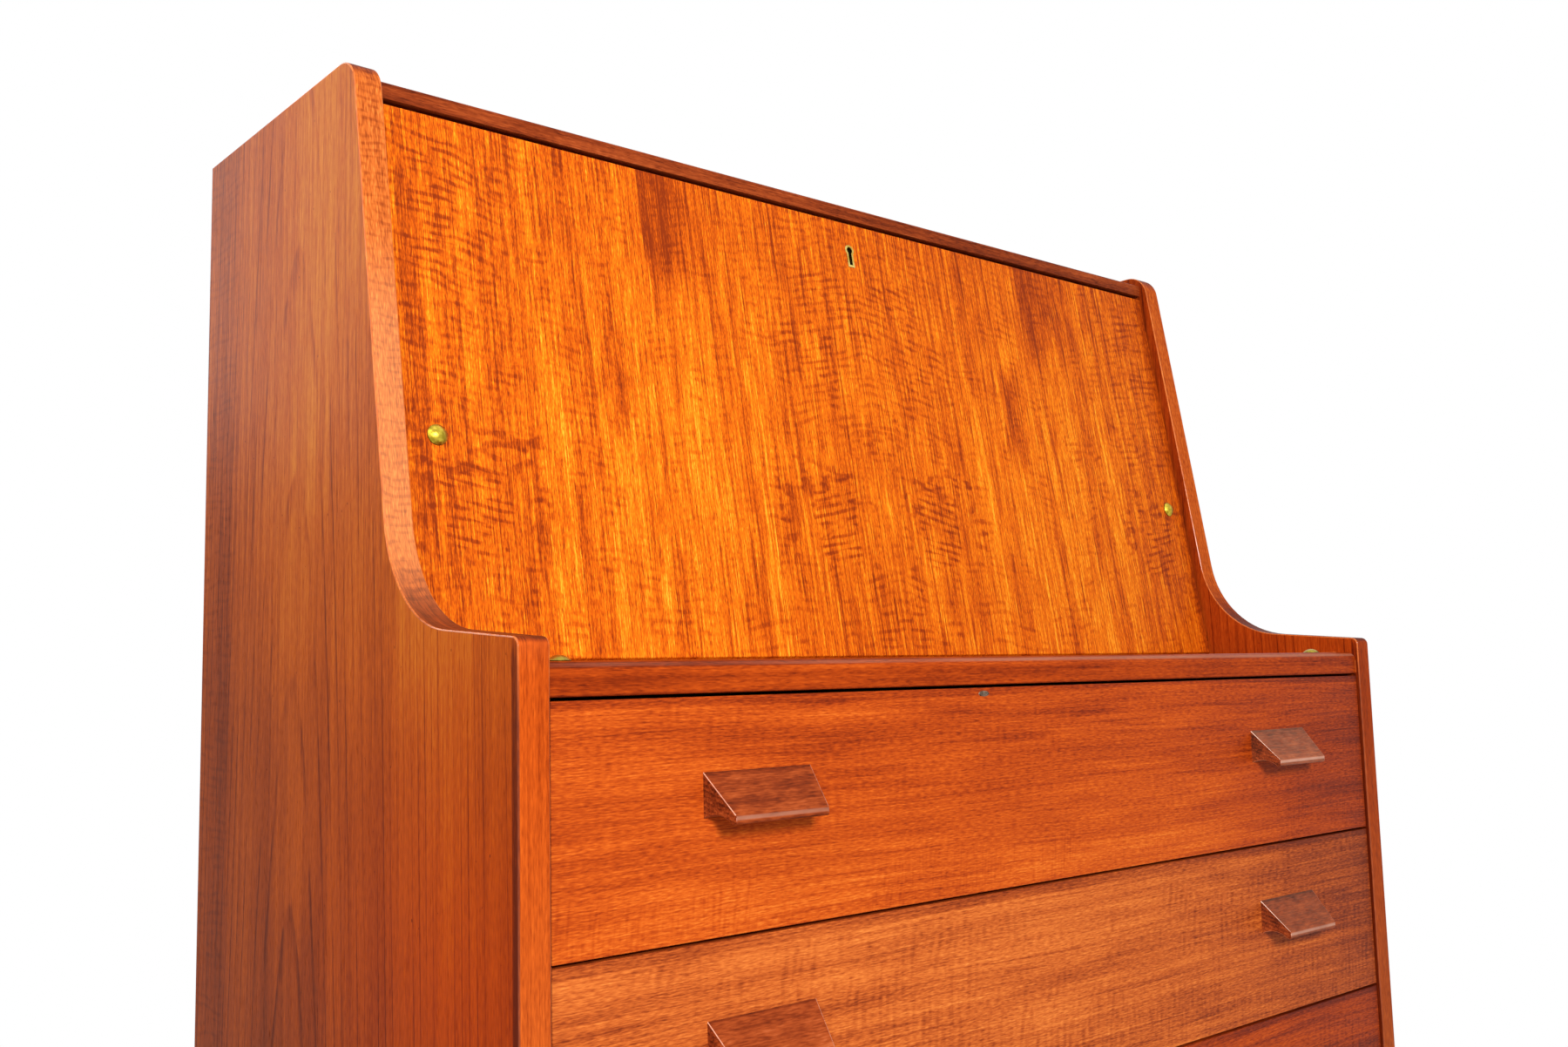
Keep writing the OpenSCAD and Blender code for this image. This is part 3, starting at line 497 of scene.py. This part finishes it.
def teak_side(name, seed, inner, levels, pink, slant_sheen):
    """An upright veneered side, orange-lipped, its inner face painted darker and redder as shade.

    inner is the way its inner face looks. levels says how light the lipping is on the slanted part
    and on the upright part below, pink how pink the slanted part is, and fading how strong the
    painted sheen is on its lower part.
    """
    shade = Shade(name)
    board = Board(shade, ALONG_Z, ALONG_Y, seed, wander=0.003)
    up = board.along
    tone = side_figure(board)
    grain = board.noise(0.05, 0.002)
    pores = board.pores()

    # The lipping shows on the broad faces too, as a darker strip along the front below the ledge.
    strip = board.across.rise(FRONT + 0.0075, FRONT + 0.006) * up.rise(LEDGE + 0.02, LEDGE)
    tone = tone - strip * 0.4 - pores * 0.14
    # Painted sheen: the face is greyer up and towards the back, where light glances off it, and
    # more saturated low in front.
    low_in_front = up.rise(LEDGE + 0.1, LEDGE - 0.2) * board.across.rise(0.15, -0.2)
    face = shade.mix(low_in_front, shade.ramp(tone, SIDE_TEAK), shade.ramp(tone, LOW_TEAK))
    # Painted shade: the inner face is darker and redder, most of all above the ledge.
    shaded = up.rise(LEDGE + 0.03, LEDGE + 0.13) * 0.24 - 0.04
    inside = shade.facing(inner).rise(0.6, 0.9)
    face = shade.mix(inside, face, shade.ramp(tone - shaded, RED_TEAK))

    narrow = shade.facing(ALONG_X).absolute().rise(0.9, 0.6)
    colour = shade.mix(narrow, face, side_lipping(shade, seed + 5, levels, pink, slant_sheen))
    shade.bump(grain * 0.3 - pores, depth=0.00004)
    return shade.finish(colour, pores * 0.2 + grain * 0.12 + 0.38, specular=0.02)


def teak_drawer(name, top, seed, palette, foot, ripples):
    """A drawer front with its grain lying across and its top edge at top, lighter by foot below.

    ripples lists its bands of ripple as (distance below top, half height, strength, pitch).
    """
    shade = Shade(name)
    board = Board(shade, ALONG_X, ALONG_Z, seed, wander=0.012)
    below = top - board.across
    fine = board.noise(0.006, 0.0009, detail=1, roughness=0.6)
    flames = board.noise(0.1, 0.01, detail=2.5)
    tone = board.noise(0.3, 0.0026, detail=1) * 0.35 + board.noise(0.4, 0.03, detail=1) * 0.4
    tone = tone + fine * 0.85 + board.noise(0.09, 0.0012, detail=1) * 0.4 + flames * 0.45 + 0.54
    tone = tone - board.threads(0.4, 0.008, thin=0.04) * 0.14 + below.rise(0.085, 0.12) * foot
    tone = tone - below.rise(0.0062, 0.0044) * 0.21  # the lipping along its top
    ragged = board.noise(0.05, 0.03) * 0.04
    patches = board.noise(0.07, 0.05, detail=1).rise(-0.12, 0.12)
    for middle, half, strength, pitch in ripples:
        ripple = board.bars(pitch, 0.03, slope=-0.12, sway=3.0, hard=-0.9)
        band = (below + ragged).near(middle, half, half * 0.8) * below.rise(0.005, 0.006)
        tone = tone - ripple * band * patches * strength
    # Painted shade: the front darkens towards its right end.
    tone = tone - board.along.rise(0.1, 0.45) * 0.26 - board.along.rise(0.4, 0.45) * 0.1
    pores = board.pores(0.001) * 0.6
    return wood(shade, tone, palette, pores, flames, rough=0.42, specular=0.06)


def teak_ledge(seed):
    """The ledge's straight-grained teak, with a painted highlight on its nose's upper round."""
    shade = Shade("teak_ledge")
    board = Board(shade, ALONG_X, ALONG_Y, seed)
    flames = board.noise(0.08, 0.01, detail=2.5)
    tone = streaky(board, broad=0.4, lines=0.5, fibres=0.4) + flames * 0.3
    tone = tone + board.noise(0.006, 0.001, detail=1) * 0.4 - board.pores() * 0.2 - 0.05
    up = shade.facing(ALONG_Z)
    rightward = board.along.rise(-0.45, 0.1)
    # Painted shade: the nose is darker where it looks down. It is also darker on its upper round
    # towards the left end.
    tone = tone - up.rise(0.15, -0.15) * 0.14 - up.near(0.68, 0.14, 0.16) * (1 - rightward) * 0.34
    # Painted highlight: a greyish band on the upper round of the nose, brighter towards its right
    # end.
    painted_highlight = up.near(0.7, 0.07, 0.14) * (flames * 0.5 + 0.1 + rightward * 0.35)
    colour = shade.mix(painted_highlight, shade.ramp(tone, RED_TEAK), NOSE_HIGHLIGHT)
    shade.bump(flames * 0.4 - board.pores(), depth=0.00005)
    return shade.finish(colour, flames * 0.15 + 0.36, specular=0.03)


def teak_plain(name, along, across, seed, palette, contrast=0.8, rough=0.38, specular=0.16):
    """Solid teak with straight grain."""
    shade = Shade(name)
    board = Board(shade, along, across, seed)
    tone = streaky(board, broad=contrast, lines=contrast, fibres=contrast * 0.8)
    flames = board.noise(0.05, 0.012) * contrast * 0.6
    return wood(shade, tone + flames, palette, board.pores(), flames, rough, specular)


def teak_pull(name, node, seed, pull_sheen, lift):
    """Dark teak of a pull, grain across, greyed by a painted sheen and lifted by painted light.

    It has darker end grain in rings at its two ends, a dark band along its crest, a painted
    lighter band just above its lip, and a painted highlight along the arris over its lip.
    """
    low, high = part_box(node)
    shade = Shade(name)
    board = Board(shade, ALONG_X, ALONG_Z, seed, wander=0.003)
    up = board.across
    tone = streaky(board, broad=0.5, lines=0.5, fibres=0.7) - 0.04 + lift
    mottle = board.noise(0.016, 0.008, detail=3)
    end = shade.facing(ALONG_X).absolute().rise(0.75, 0.95)
    rings = shade.math("FRACT", (up + board.through * 0.4) / 0.0032).rise(0.3, 0.9)
    tone = tone + mottle * 0.6 - end * (rings * 0.14 + 0.06) - board.pores() * 0.12
    tone = tone - up.rise(high.z - 0.0022, high.z - 0.0006) * (mottle + 0.6) * 0.35
    # Painted light: a lighter band just above the lip.
    tone = tone + up.near(low.z + 0.0065, 0.001, 0.004) * 0.12
    fine = board.noise(0.008, 0.0012, detail=1, roughness=0.6)
    # Painted sheen greys the pull, less on its end grain.
    pull_sheen_share = (mottle * 0.8 + fine * 2.0 + 1.0) * (1.0 - end * 0.85) * pull_sheen
    colour = shade.mix(pull_sheen_share, shade.ramp(tone, DARK_TEAK), SHEEN_GREY)

    # Painted highlight along the arris over the lip, greyer where the pull has painted sheen.
    in_front = (board.through + low.y).absolute().rise(0.003, 0.002)
    painted_highlight = shade.facing(-ALONG_Y).rise(0.6, 0.9) * in_front
    painted_highlight = painted_highlight * up.near(low.z + 0.0038, 0.0005, 0.0012) * (mottle + 0.8)
    pale = shade.mix(pull_sheen * 4.0, LIP_HIGHLIGHT, SHEENED_LIP_HIGHLIGHT)
    colour = shade.mix(shade.math("MINIMUM", painted_highlight, 1.0), colour, pale)
    shade.bump(mottle, depth=0.00005)
    return shade.finish(colour, mottle * 0.15 + 0.36, specular=0.04)


def teak_arris(name, along, across, seed, darker, palette, rough, specular):
    """A rounded arris with a painted highlight; darker takes its board and paints shade on it."""
    shade = Shade(name)
    board = Board(shade, along, across, seed)
    tone = streaky(board, broad=0.5, lines=0.5, fibres=0.4) - darker(board)
    shade.bump(board.pores() * -1.0, depth=0.00003)
    return shade.finish(shade.ramp(tone, palette), tone * 0.1 + rough, specular)


def below_and_behind(board):
    """Painted shade on the sides' arrises: darker below the ledge and at the back."""
    below = board.along.rise(LEDGE + 0.01, LEDGE - 0.04)
    return below * 0.4 + board.across.rise(BACK - 0.2, BACK - 0.08) * 0.5


def leftward(board):
    """The ledge's arris is painted darker towards its left end, as a weaker highlight."""
    return board.along.rise(0.2, -0.3) * 0.6


def teak_pull_arris(name, seed, lift):
    """The pulls' arrises: a painted highlight where they look up, off the right ends, else dark."""
    shade = Shade(name)
    board = Board(shade, ALONG_X, ALONG_Z, seed)
    tone = streaky(board, broad=0.5, lines=0.5, fibres=0.4) + lift
    # Painted highlight on the arrises that look up, except at the right ends.
    above = shade.facing(ALONG_Z).rise(-0.1, 0.25)
    off_right_end = shade.facing(ALONG_X).rise(0.3, 0.1)
    dark, pale = shade.ramp(tone, DARK_TEAK), shade.ramp(tone, HIGHLIGHT_TEAK)
    colour = shade.mix(above * off_right_end, dark, pale)
    return shade.finish(colour, tone * 0.1 + 0.3, specular=0.5)


# ---------------------------------------------------------------- other materials


def beech(name, along, across, seed):
    """Pale beech of the drawer boxes and runners, with its short flecks."""
    shade = Shade(name)
    board = Board(shade, along, across, seed)
    palette = (srgb(168, 118, 78), srgb(196, 148, 104), srgb(212, 168, 124), srgb(226, 188, 146))
    tone = streaky(board, broad=0.6, lines=0.45, fibres=0.3)
    flecks = board.noise(0.003, 0.0008, detail=0).rise(0.12, 0.25)
    return wood(shade, tone, palette, flecks, tone - 0.5, rough=0.5, specular=0.25)


def plywood(name, along, across, face, seed):
    """Plywood: a plain rotary-cut face, and its plies on the edges. face is the sheet's normal."""
    shade = Shade(name)
    board = Board(shade, along, across, seed, wander=0.02)
    palette = (srgb(150, 100, 58), srgb(184, 132, 84), srgb(204, 154, 104), srgb(218, 174, 126))
    swirls = arches(board, 0.0, 0.05, slope=0.1, spacing=0.012)
    tone = streaky(board, broad=0.6, lines=0.35, fibres=0.3) - swirls * 0.25
    edge = shade.facing(face).absolute().rise(0.8, 0.5)
    dark_plies = shade.math("PINGPONG", board.through, PLY).rise(PLY / 3, PLY * 2 / 3)
    tone = tone - edge * dark_plies * 0.45
    pores = board.pores() * 0.5
    return wood(shade, tone, palette, pores, tone - 0.5, rough=0.6, specular=0.2)


def metal(name, clean, aged, seed, rough, scale, outward=None):
    """A metal, clean in patches and aged between, with fine wear in its polish.

    scale is the patches' size. A dome looking outward gets painted shade and reflection at its rim.
    """
    shade = Shade(name)

    def blotches(stretch, shift, detail, roughness):
        sizes = tuple(size / scale for size in stretch)
        where = shade.vector("MULTIPLY_ADD", shade.coordinates(), sizes, (shift,) * 3)
        return shade.noise(where, detail, roughness)

    cloud = blotches((1, 1, 1), seed, detail=4, roughness=0.6)
    scratches = blotches((9, 2, 9), seed + 3, detail=2, roughness=0.5)
    share = (cloud + scratches * 0.5).rise(-0.14, 0.2)
    colour = shade.mix(share, aged, clean)
    if outward:
        # Painted shade and a painted dark reflection around the dome's rim.
        rim = shade.facing(outward).rise(0.78, 0.62)
        colour = shade.mix(rim, colour, RIM_SHADE)
    shade.bump(scratches, depth=0.00002)
    rough = scratches * 0.2 + cloud * -0.2 + rough
    return shade.finish(colour, rough, specular=0.5, metallic=1.0)


# ---------------------------------------------------------------- giving each node its material


def arris_finder(name, shortest, contact):
    """A node group that marks a node's arrises for rounding, and its other sharp edges as sharp.

    Edges no longer than shortest are those of small holes and stay as they are, and so do those in
    the contact box, (lowest corner, highest corner), where another piece is bedded.
    """
    group = bpy.data.node_groups.new(f"arrises_{name}", "GeometryNodeTree")
    for way in ("INPUT", "OUTPUT"):
        group.interface.new_socket("Geometry", in_out=way, socket_type="NodeSocketGeometry")

    def add(kind, *inputs, operation=None, output=0):
        node = group.nodes.new(kind)
        if operation:
            node.operation = operation
        for socket, value in zip(node.inputs, inputs):
            if isinstance(value, bpy.types.NodeSocket):
                group.links.new(value, socket)
            else:
                socket.default_value = value
        return node.outputs[output] if node.outputs else node

    def both(first, second):
        return add("ShaderNodeMath", first, second, operation="MULTIPLY")

    ends = add("GeometryNodeInputMeshEdgeVertices", output=2).node.outputs
    length = add("ShaderNodeVectorMath", ends[2], ends[3], operation="DISTANCE", output=1)
    angle = add("GeometryNodeInputMeshEdgeAngle")
    sharp = add("ShaderNodeMath", angle, SHARP, operation="GREATER_THAN")
    chosen = both(add("ShaderNodeMath", length, shortest, operation="GREATER_THAN"), sharp)
    if contact:
        middle, half = (contact[0] + contact[1]) / 2, (contact[1] - contact[0]) / 2
        place = add("ShaderNodeVectorMath", ends[2], ends[3], operation="ADD")
        place = add("ShaderNodeVectorMath", place, middle * 2, operation="SUBTRACT")
        place = add("ShaderNodeVectorMath", place, operation="ABSOLUTE")
        place = add("ShaderNodeVectorMath", place, half * 2, operation="SUBTRACT")
        outside = add("ShaderNodeSeparateXYZ", place).node.outputs
        furthest = add("ShaderNodeMath", outside[0], outside[1], operation="MAXIMUM")
        furthest = add("ShaderNodeMath", furthest, outside[2], operation="MAXIMUM")
        chosen = both(chosen, add("ShaderNodeMath", furthest, 0.0, operation="GREATER_THAN"))
    left = add("ShaderNodeMath", sharp, chosen, operation="SUBTRACT")
    marked = add("NodeGroupInput")
    marks = (("FLOAT", "bevel_weight_edge", chosen), ("BOOLEAN", "sharp_edge", left))
    for kind, key, value in marks:
        mark = group.nodes.new("GeometryNodeStoreNamedAttribute")
        mark.data_type, mark.domain = kind, "EDGE"
        mark.inputs["Name"].default_value = key
        group.links.new(marked, mark.inputs["Geometry"])
        group.links.new(value, mark.inputs["Value"])
        marked = mark.outputs[0]
    add("NodeGroupOutput", marked)
    return group


def around(name, room):
    """(lowest corner, highest corner) of a node's box with this much room on every side."""
    low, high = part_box(name)
    return Vector(low) - Vector((room,) * 3), Vector(high) + Vector((room,) * 3)


def dress(names, material, rounding=0.0, arris_material=None, shortest=0.0012, contact=None):
    """Gives CAD nodes, named with spaces between, their material and rounds their arrises.

    The rounded arrises take the arris material, if there is one.
    """
    for name in names.split():
        node = NODES[name]
        node.data.materials.clear()
        node.data.materials.append(material)
        if not rounding:
            continue
        weld = node.modifiers.new("weld", "WELD")
        weld.merge_threshold = WELD_DISTANCE
        flat = node.modifiers.new("flat", "DECIMATE")
        flat.decimate_type, flat.angle_limit = "DISSOLVE", FLAT_ANGLE
        finder = node.modifiers.new("finder", "NODES")
        finder.node_group = arris_finder(name, shortest, contact)
        arris = node.modifiers.new("arris", "BEVEL")
        arris.width, arris.segments = rounding, 3
        arris.limit_method = "WEIGHT"
        arris.use_clamp_overlap = arris.loop_slide = False
        if arris_material:
            node.data.materials.append(arris_material)
            arris.material = 1
        smooth = node.modifiers.new("smooth", "WEIGHTED_NORMAL")
        smooth.keep_sharp = True
        smooth.weight = 100


side_arris = teak_arris(
    "teak_worn_side",
    ALONG_Z,
    ALONG_Y,
    seed=41.0,
    darker=below_and_behind,
    palette=EDGE_TEAK,
    rough=0.12,
    specular=0.2,
)
ledge_arris = teak_arris(
    "teak_ledge_arris",
    ALONG_X,
    ALONG_Z,
    seed=47.0,
    darker=leftward,
    palette=WARM_TEAK,
    rough=0.26,
    specular=0.4,
)
left_wood = teak_side(
    "teak_side_left", seed=3.0, inner=ALONG_X, levels=(-0.01, 0.0), pink=0.75, slant_sheen=0.11
)
right_wood = teak_side(
    "teak_side_right", seed=19.0, inner=-ALONG_X, levels=(-0.02, -0.16), pink=0.2, slant_sheen=0.0
)
bushes = around("pivot_bushes", room=0.003)
bushed = {"rounding": 0.0009, "arris_material": side_arris, "shortest": 0.0005, "contact": bushes}
dress("side_left", left_wood, **bushed)
dress("side_right", right_wood, **bushed)
lip_wood = teak_plain(
    "teak_lip", ALONG_X, ALONG_Y, 23.0, DARK_TEAK, contrast=0.7, rough=0.36, specular=0.04
)
dress("top_panel", lip_wood, rounding=0.0006, contact=around("strike_plate", room=0.004))
dress("ledge_board", teak_ledge(seed=29.0), rounding=0.0012, arris_material=ledge_arris)
dress("fall_panel", teak_fall(), rounding=0.0005)

inner = teak_plain("teak_inner", ALONG_X, ALONG_Y, 31.0, SIDE_TEAK, rough=0.45, specular=0.12)
inner_upright = teak_plain(
    "teak_inner_upright", ALONG_Z, ALONG_Y, 37.0, SIDE_TEAK, rough=0.45, specular=0.12
)
dress("writing_floor bottom_panel pigeonhole_shelf", inner, rounding=0.0006)
dress("pigeonhole_dividers", inner_upright, rounding=0.0006)
dress("floor_battens", beech("beech_battens", ALONG_X, ALONG_Y, 53.0), rounding=0.0006)
runner_wood = beech("beech_runners", ALONG_Y, ALONG_Z, 61.0)
dress("runners_left runners_right", runner_wood, rounding=0.0008)
dress("back_panel", plywood("plywood_back", ALONG_Z, ALONG_X, ALONG_Y, 59.0))

rail_across = teak_plain("teak_rail_across", ALONG_X, ALONG_Z, 67.0, DARK_TEAK)
rail_deep = teak_plain("teak_rail_deep", ALONG_Y, ALONG_Z, 71.0, DARK_TEAK)
leg = teak_plain("teak_legs", ALONG_Z, ALONG_X, 73.0, DARK_TEAK, contrast=0.9)
dress("base_rail_front base_rail_back", rail_across, rounding=0.001)
dress("base_rail_left base_rail_right", rail_deep, rounding=0.001)
dress("leg_front_left leg_front_right leg_back_left leg_back_right", leg, rounding=0.0008)

# Each drawer's palette and how much lighter its foot is, its left and right pull as (painted
# sheen, lift), and its front's ripples as teak_drawer takes them.
DRAWERS = (
    (
        (RED_TEAK, 0.12),
        ((0.0, 0.0), (0.17, 0.0)),
        ((0.124, 0.012, 0.08, 0.0036), (0.02, 0.02, 0.05, 0.007), (0.09, 0.03, 0.04, 0.006)),
    ),
    (
        (WARM_TEAK, 0.0),
        ((0.0, 0.14), (0.09, 0.04)),
        ((0.018, 0.012, 0.1, 0.0085), (0.07, 0.04, 0.1, 0.0075), (0.12, 0.02, 0.08, 0.006)),
    ),
    (
        (RED_TEAK, 0.0),
        ((0.0, 0.1), (0.1, 0.04)),
        ((0.04, 0.02, 0.1, 0.007), (0.11, 0.02, 0.1, 0.006)),
    ),
)
steel = metal("steel", srgb(176, 176, 172), srgb(110, 106, 100), 5.0, rough=0.38, scale=0.004)
side_wood = beech("beech_sides", ALONG_Y, ALONG_Z, 79.0)
back_wood = beech("beech_backs", ALONG_X, ALONG_Z, 83.0)
sheet = plywood("plywood_bottoms", ALONG_X, ALONG_Y, ALONG_Z, 89.0)
pull_arrises = (
    teak_pull_arris("teak_worn_pull_left", 43.0, lift=0.0),
    teak_pull_arris("teak_worn_pull_right", 43.0, lift=0.4),
)
for number, ((palette, foot), pulls, ripples) in enumerate(DRAWERS, start=1):
    drawer = f"drawer_{number}"
    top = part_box(f"{drawer}_front")[1].z
    seed = 90.0 + 13 * number
    front_wood = teak_drawer(f"teak_front_{number}", top, seed, palette, foot, ripples)
    dress(f"{drawer}_front", front_wood, rounding=0.0006)
    dress(f"{drawer}_side_left {drawer}_side_right", side_wood, rounding=0.0004)
    dress(f"{drawer}_back", back_wood, rounding=0.0006)
    dress(f"{drawer}_bottom", sheet)
    for place, side in enumerate(("left", "right")):
        pull = f"{drawer}_pull_{side}"
        seed = 140.0 + 17 * number + 5 * place
        pull_wood = teak_pull(f"teak_pull_{number}_{side}", pull, seed, *pulls[place])
        bed, end = around(pull, room=0.001)
        bed.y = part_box(pull)[1].y - 0.0004  # only its back is bedded, against the front
        arris_material = pull_arrises[place]
        dress(pull, pull_wood, rounding=0.0004, arris_material=arris_material, shortest=0.0009, contact=(bed, end))
    dress(f"{drawer}_pull_screws", steel)

brass = metal("brass", srgb(206, 172, 66), srgb(138, 112, 32), 2.0, rough=0.26, scale=0.012)
ring_brass = metal(
    "brass_ring", srgb(240, 212, 120), srgb(196, 158, 66), 9.0, rough=0.24, scale=0.006
)
off_fall = Vector((0, -math.cos(LEAN), math.sin(LEAN)))
studs = (
    # the ledge's studs are painted a darker brass than the fall's, as shade
    ("ledge_studs", ALONG_Z, srgb(184, 162, 64), srgb(124, 106, 34)),
    ("fall_studs", off_fall, srgb(224, 198, 72), srgb(158, 132, 34)),
)
for name, outward, clean, aged in studs:
    dome = metal(f"brass_{name}", clean, aged, 2.0, rough=0.32, scale=0.02, outward=outward)
    dress(name, dome, rounding=0.0002)
    NODES[name].modifiers["smooth"].weight = 50  # even weights, so that the domes look smooth
dress("escutcheon", ring_brass)
dress("pivot_pins pivot_bushes strike_plate", brass)
dress("lock_case lock_cover lock_bolt", brass, rounding=0.0002)
dress("back_screws runner_screws base_screws strike_screws lock_screws", steel)


# ---------------------------------------------------------------- the old pin on the first drawer


def oval_head(name, middle, width, height, proud):
    """A low oval dome with a rounded rim, facing the front."""
    mesh = bpy.data.meshes.new(name)
    shape = bmesh.new()
    steps, rings = 32, 6
    rows = []
    for ring in range(rings):
        angle = math.pi / 2 * ring / rings
        spread, rise = math.cos(angle), math.sin(angle)
        row = []
        for step in range(steps):
            turn = 2 * math.pi * step / steps
            x = width / 2 * spread * math.cos(turn)
            z = height / 2 * spread * math.sin(turn)
            row.append(shape.verts.new(middle + Vector((x, -proud * rise, z))))
        rows.append(row)
    crown = shape.verts.new(middle + Vector((0, -proud, 0)))
    for step in range(steps):
        after = (step + 1) % steps
        for lower, upper in zip(rows, rows[1:]):
            shape.faces.new((lower[step], lower[after], upper[after], upper[step]))
        shape.faces.new((rows[-1][step], rows[-1][after], crown))
    shape.faces.new(reversed(rows[0]))
    for face in shape.faces:
        face.smooth = len(face.verts) < steps
    bmesh.ops.recalc_face_normals(shape, faces=shape.faces)
    shape.to_mesh(mesh)
    shape.free()
    head = bpy.data.objects.new(name, mesh)
    SCENE.collection.objects.link(head)
    return head


low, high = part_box("drawer_1_front")
middle = Vector((-0.087, low.y + 0.0002, high.z - 0.0042))
pin = oval_head("old_pin_head", middle, width=0.0115, height=0.0042, proud=0.0007)
pin_metal = metal("pin_metal", srgb(150, 128, 108), srgb(48, 30, 20), 8.0, rough=0.4, scale=0.004)
pin.data.materials.append(pin_metal)
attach(pin, "drawer_1")


# ---------------------------------------------------------------- studio

FLOOR_REACH = 6.0
SHADOW_REACH = (0.75, 1.45)  # from where to where the floor pales
WHITE, GREY = (1, 1, 1, 1), (0.86, 0.86, 0.86, 1)
SEEN_BY = ("Is Camera Ray", "Is Glossy Ray", "Is Transmission Ray")  # what sees white

# The photograph's camera, solved together with the desk's proportions.
SENSOR, FOCAL_LENGTH = 36.0, 32.749  # millimetres
EYE = Vector((-0.84965, FRONT - 0.66979, LEDGE - 0.01329))
HEADING, PITCH, ROLL = (math.radians(angle) for angle in (49.154, 6.253, -1.365))


def floor():
    """A pale floor that keeps the desk's shadow and pales to the white of the background."""
    mesh = bpy.data.meshes.new("floor")
    r = FLOOR_REACH
    mesh.from_pydata([(-r, -r, 0), (r, -r, 0), (r, r, 0), (-r, r, 0)], [], [(0, 1, 2, 3)])
    made = bpy.data.objects.new("floor", mesh)
    SCENE.collection.objects.link(made)
    shade = Shade("floor")
    distance = Value(shade, shade.vector("LENGTH", shade.coordinates()))
    shade.finish(GREY, shade.noise(shade.coordinates()) * 0.1 + 0.6, specular=0.2)
    white = shade.node("ShaderNodeEmission", {"Color": WHITE, "Strength": 1.0})
    path = shade.node("ShaderNodeLightPath").outputs
    seen = sum((Value(shade, path[kind]) for kind in SEEN_BY), 0.0)
    pull_sheen_share = distance.rise(*SHADOW_REACH) * shade.math("MINIMUM", seen, 1.0)
    blend = shade.node("ShaderNodeMixShader", {0: pull_sheen_share})
    shade.put(blend.inputs[1], shade.shader.outputs["BSDF"])
    shade.put(blend.inputs[2], white.outputs["Emission"])
    shade.put(shade.output.inputs["Surface"], blend.outputs["Shader"])
    mesh.materials.append(shade.material)


def surroundings(fill):
    """A white background for those who see it, and a softer light of strength fill for the rest."""
    world = bpy.data.worlds.new("studio")
    world.use_nodes = True
    SCENE.world = world
    tree = world.node_tree
    path = tree.nodes.new("ShaderNodeLightPath").outputs
    seen = path[SEEN_BY[0]]
    for kind in SEEN_BY[1:]:
        either = tree.nodes.new("ShaderNodeMath")
        either.operation = "MAXIMUM"
        tree.links.new(seen, either.inputs[0])
        tree.links.new(path[kind], either.inputs[1])
        seen = either.outputs[0]
    strength = tree.nodes.new("ShaderNodeMapRange")
    strength.inputs["To Min"].default_value = fill
    tree.links.new(seen, strength.inputs["Value"])
    background = tree.nodes["Background"]
    background.inputs["Color"].default_value = WHITE
    tree.links.new(strength.outputs["Result"], background.inputs["Strength"])


def lamp(name, azimuth, elevation, distance, size, power, target):
    """A soft square light that looks at target, from the front at azimuth 0, the left at 90."""
    data = bpy.data.lights.new(name, "AREA")
    data.size, data.energy = size, power
    made = bpy.data.objects.new(name, data)
    SCENE.collection.objects.link(made)
    turn, rise = math.radians(azimuth), math.radians(elevation)
    level = math.cos(rise)
    out = Vector((-math.sin(turn) * level, -math.cos(turn) * level, math.sin(rise)))
    made.location = target + out * distance
    made.rotation_euler = out.to_track_quat("Z", "Y").to_euler()


def camera():
    """The photograph's viewpoint: low, close in front of the left corner and a little turned up."""
    data = bpy.data.cameras.new("camera")
    data.sensor_fit, data.sensor_width, data.lens = "HORIZONTAL", SENSOR, FOCAL_LENGTH
    data.clip_start = 0.01
    made = bpy.data.objects.new("camera", data)
    SCENE.collection.objects.link(made)
    level = math.cos(PITCH)
    ahead = Vector((level * math.cos(HEADING), level * math.sin(HEADING), math.sin(PITCH)))
    right = Vector((math.sin(HEADING), -math.cos(HEADING), 0))
    up = right.cross(ahead)
    image_right = right * math.cos(ROLL) + up * math.sin(ROLL)
    image_up = up * math.cos(ROLL) - right * math.sin(ROLL)
    turn = Matrix((image_right, image_up, -ahead)).transposed()
    made.matrix_world = Matrix.Translation(EYE) @ turn.to_4x4()
    SCENE.camera = made


floor()
surroundings(fill=0.24)
middle = Vector((0, 0, (cad_low.z + cad_high.z) / 2 + 0.2))
corner = Vector((cad_low.x, cad_low.y + 0.15, cad_high.z - 0.1))
lamp("key", azimuth=24, elevation=16, distance=2.4, size=0.5, power=54, target=middle)
lamp("left", azimuth=62, elevation=30, distance=1.1, size=0.7, power=7, target=corner)
lamp("overhead", azimuth=-10, elevation=72, distance=2.6, size=1.4, power=5, target=middle)
lamp("behind", azimuth=155, elevation=26, distance=2.6, size=1.4, power=16, target=middle)
camera()

SCENE.view_settings.view_transform = "Standard"
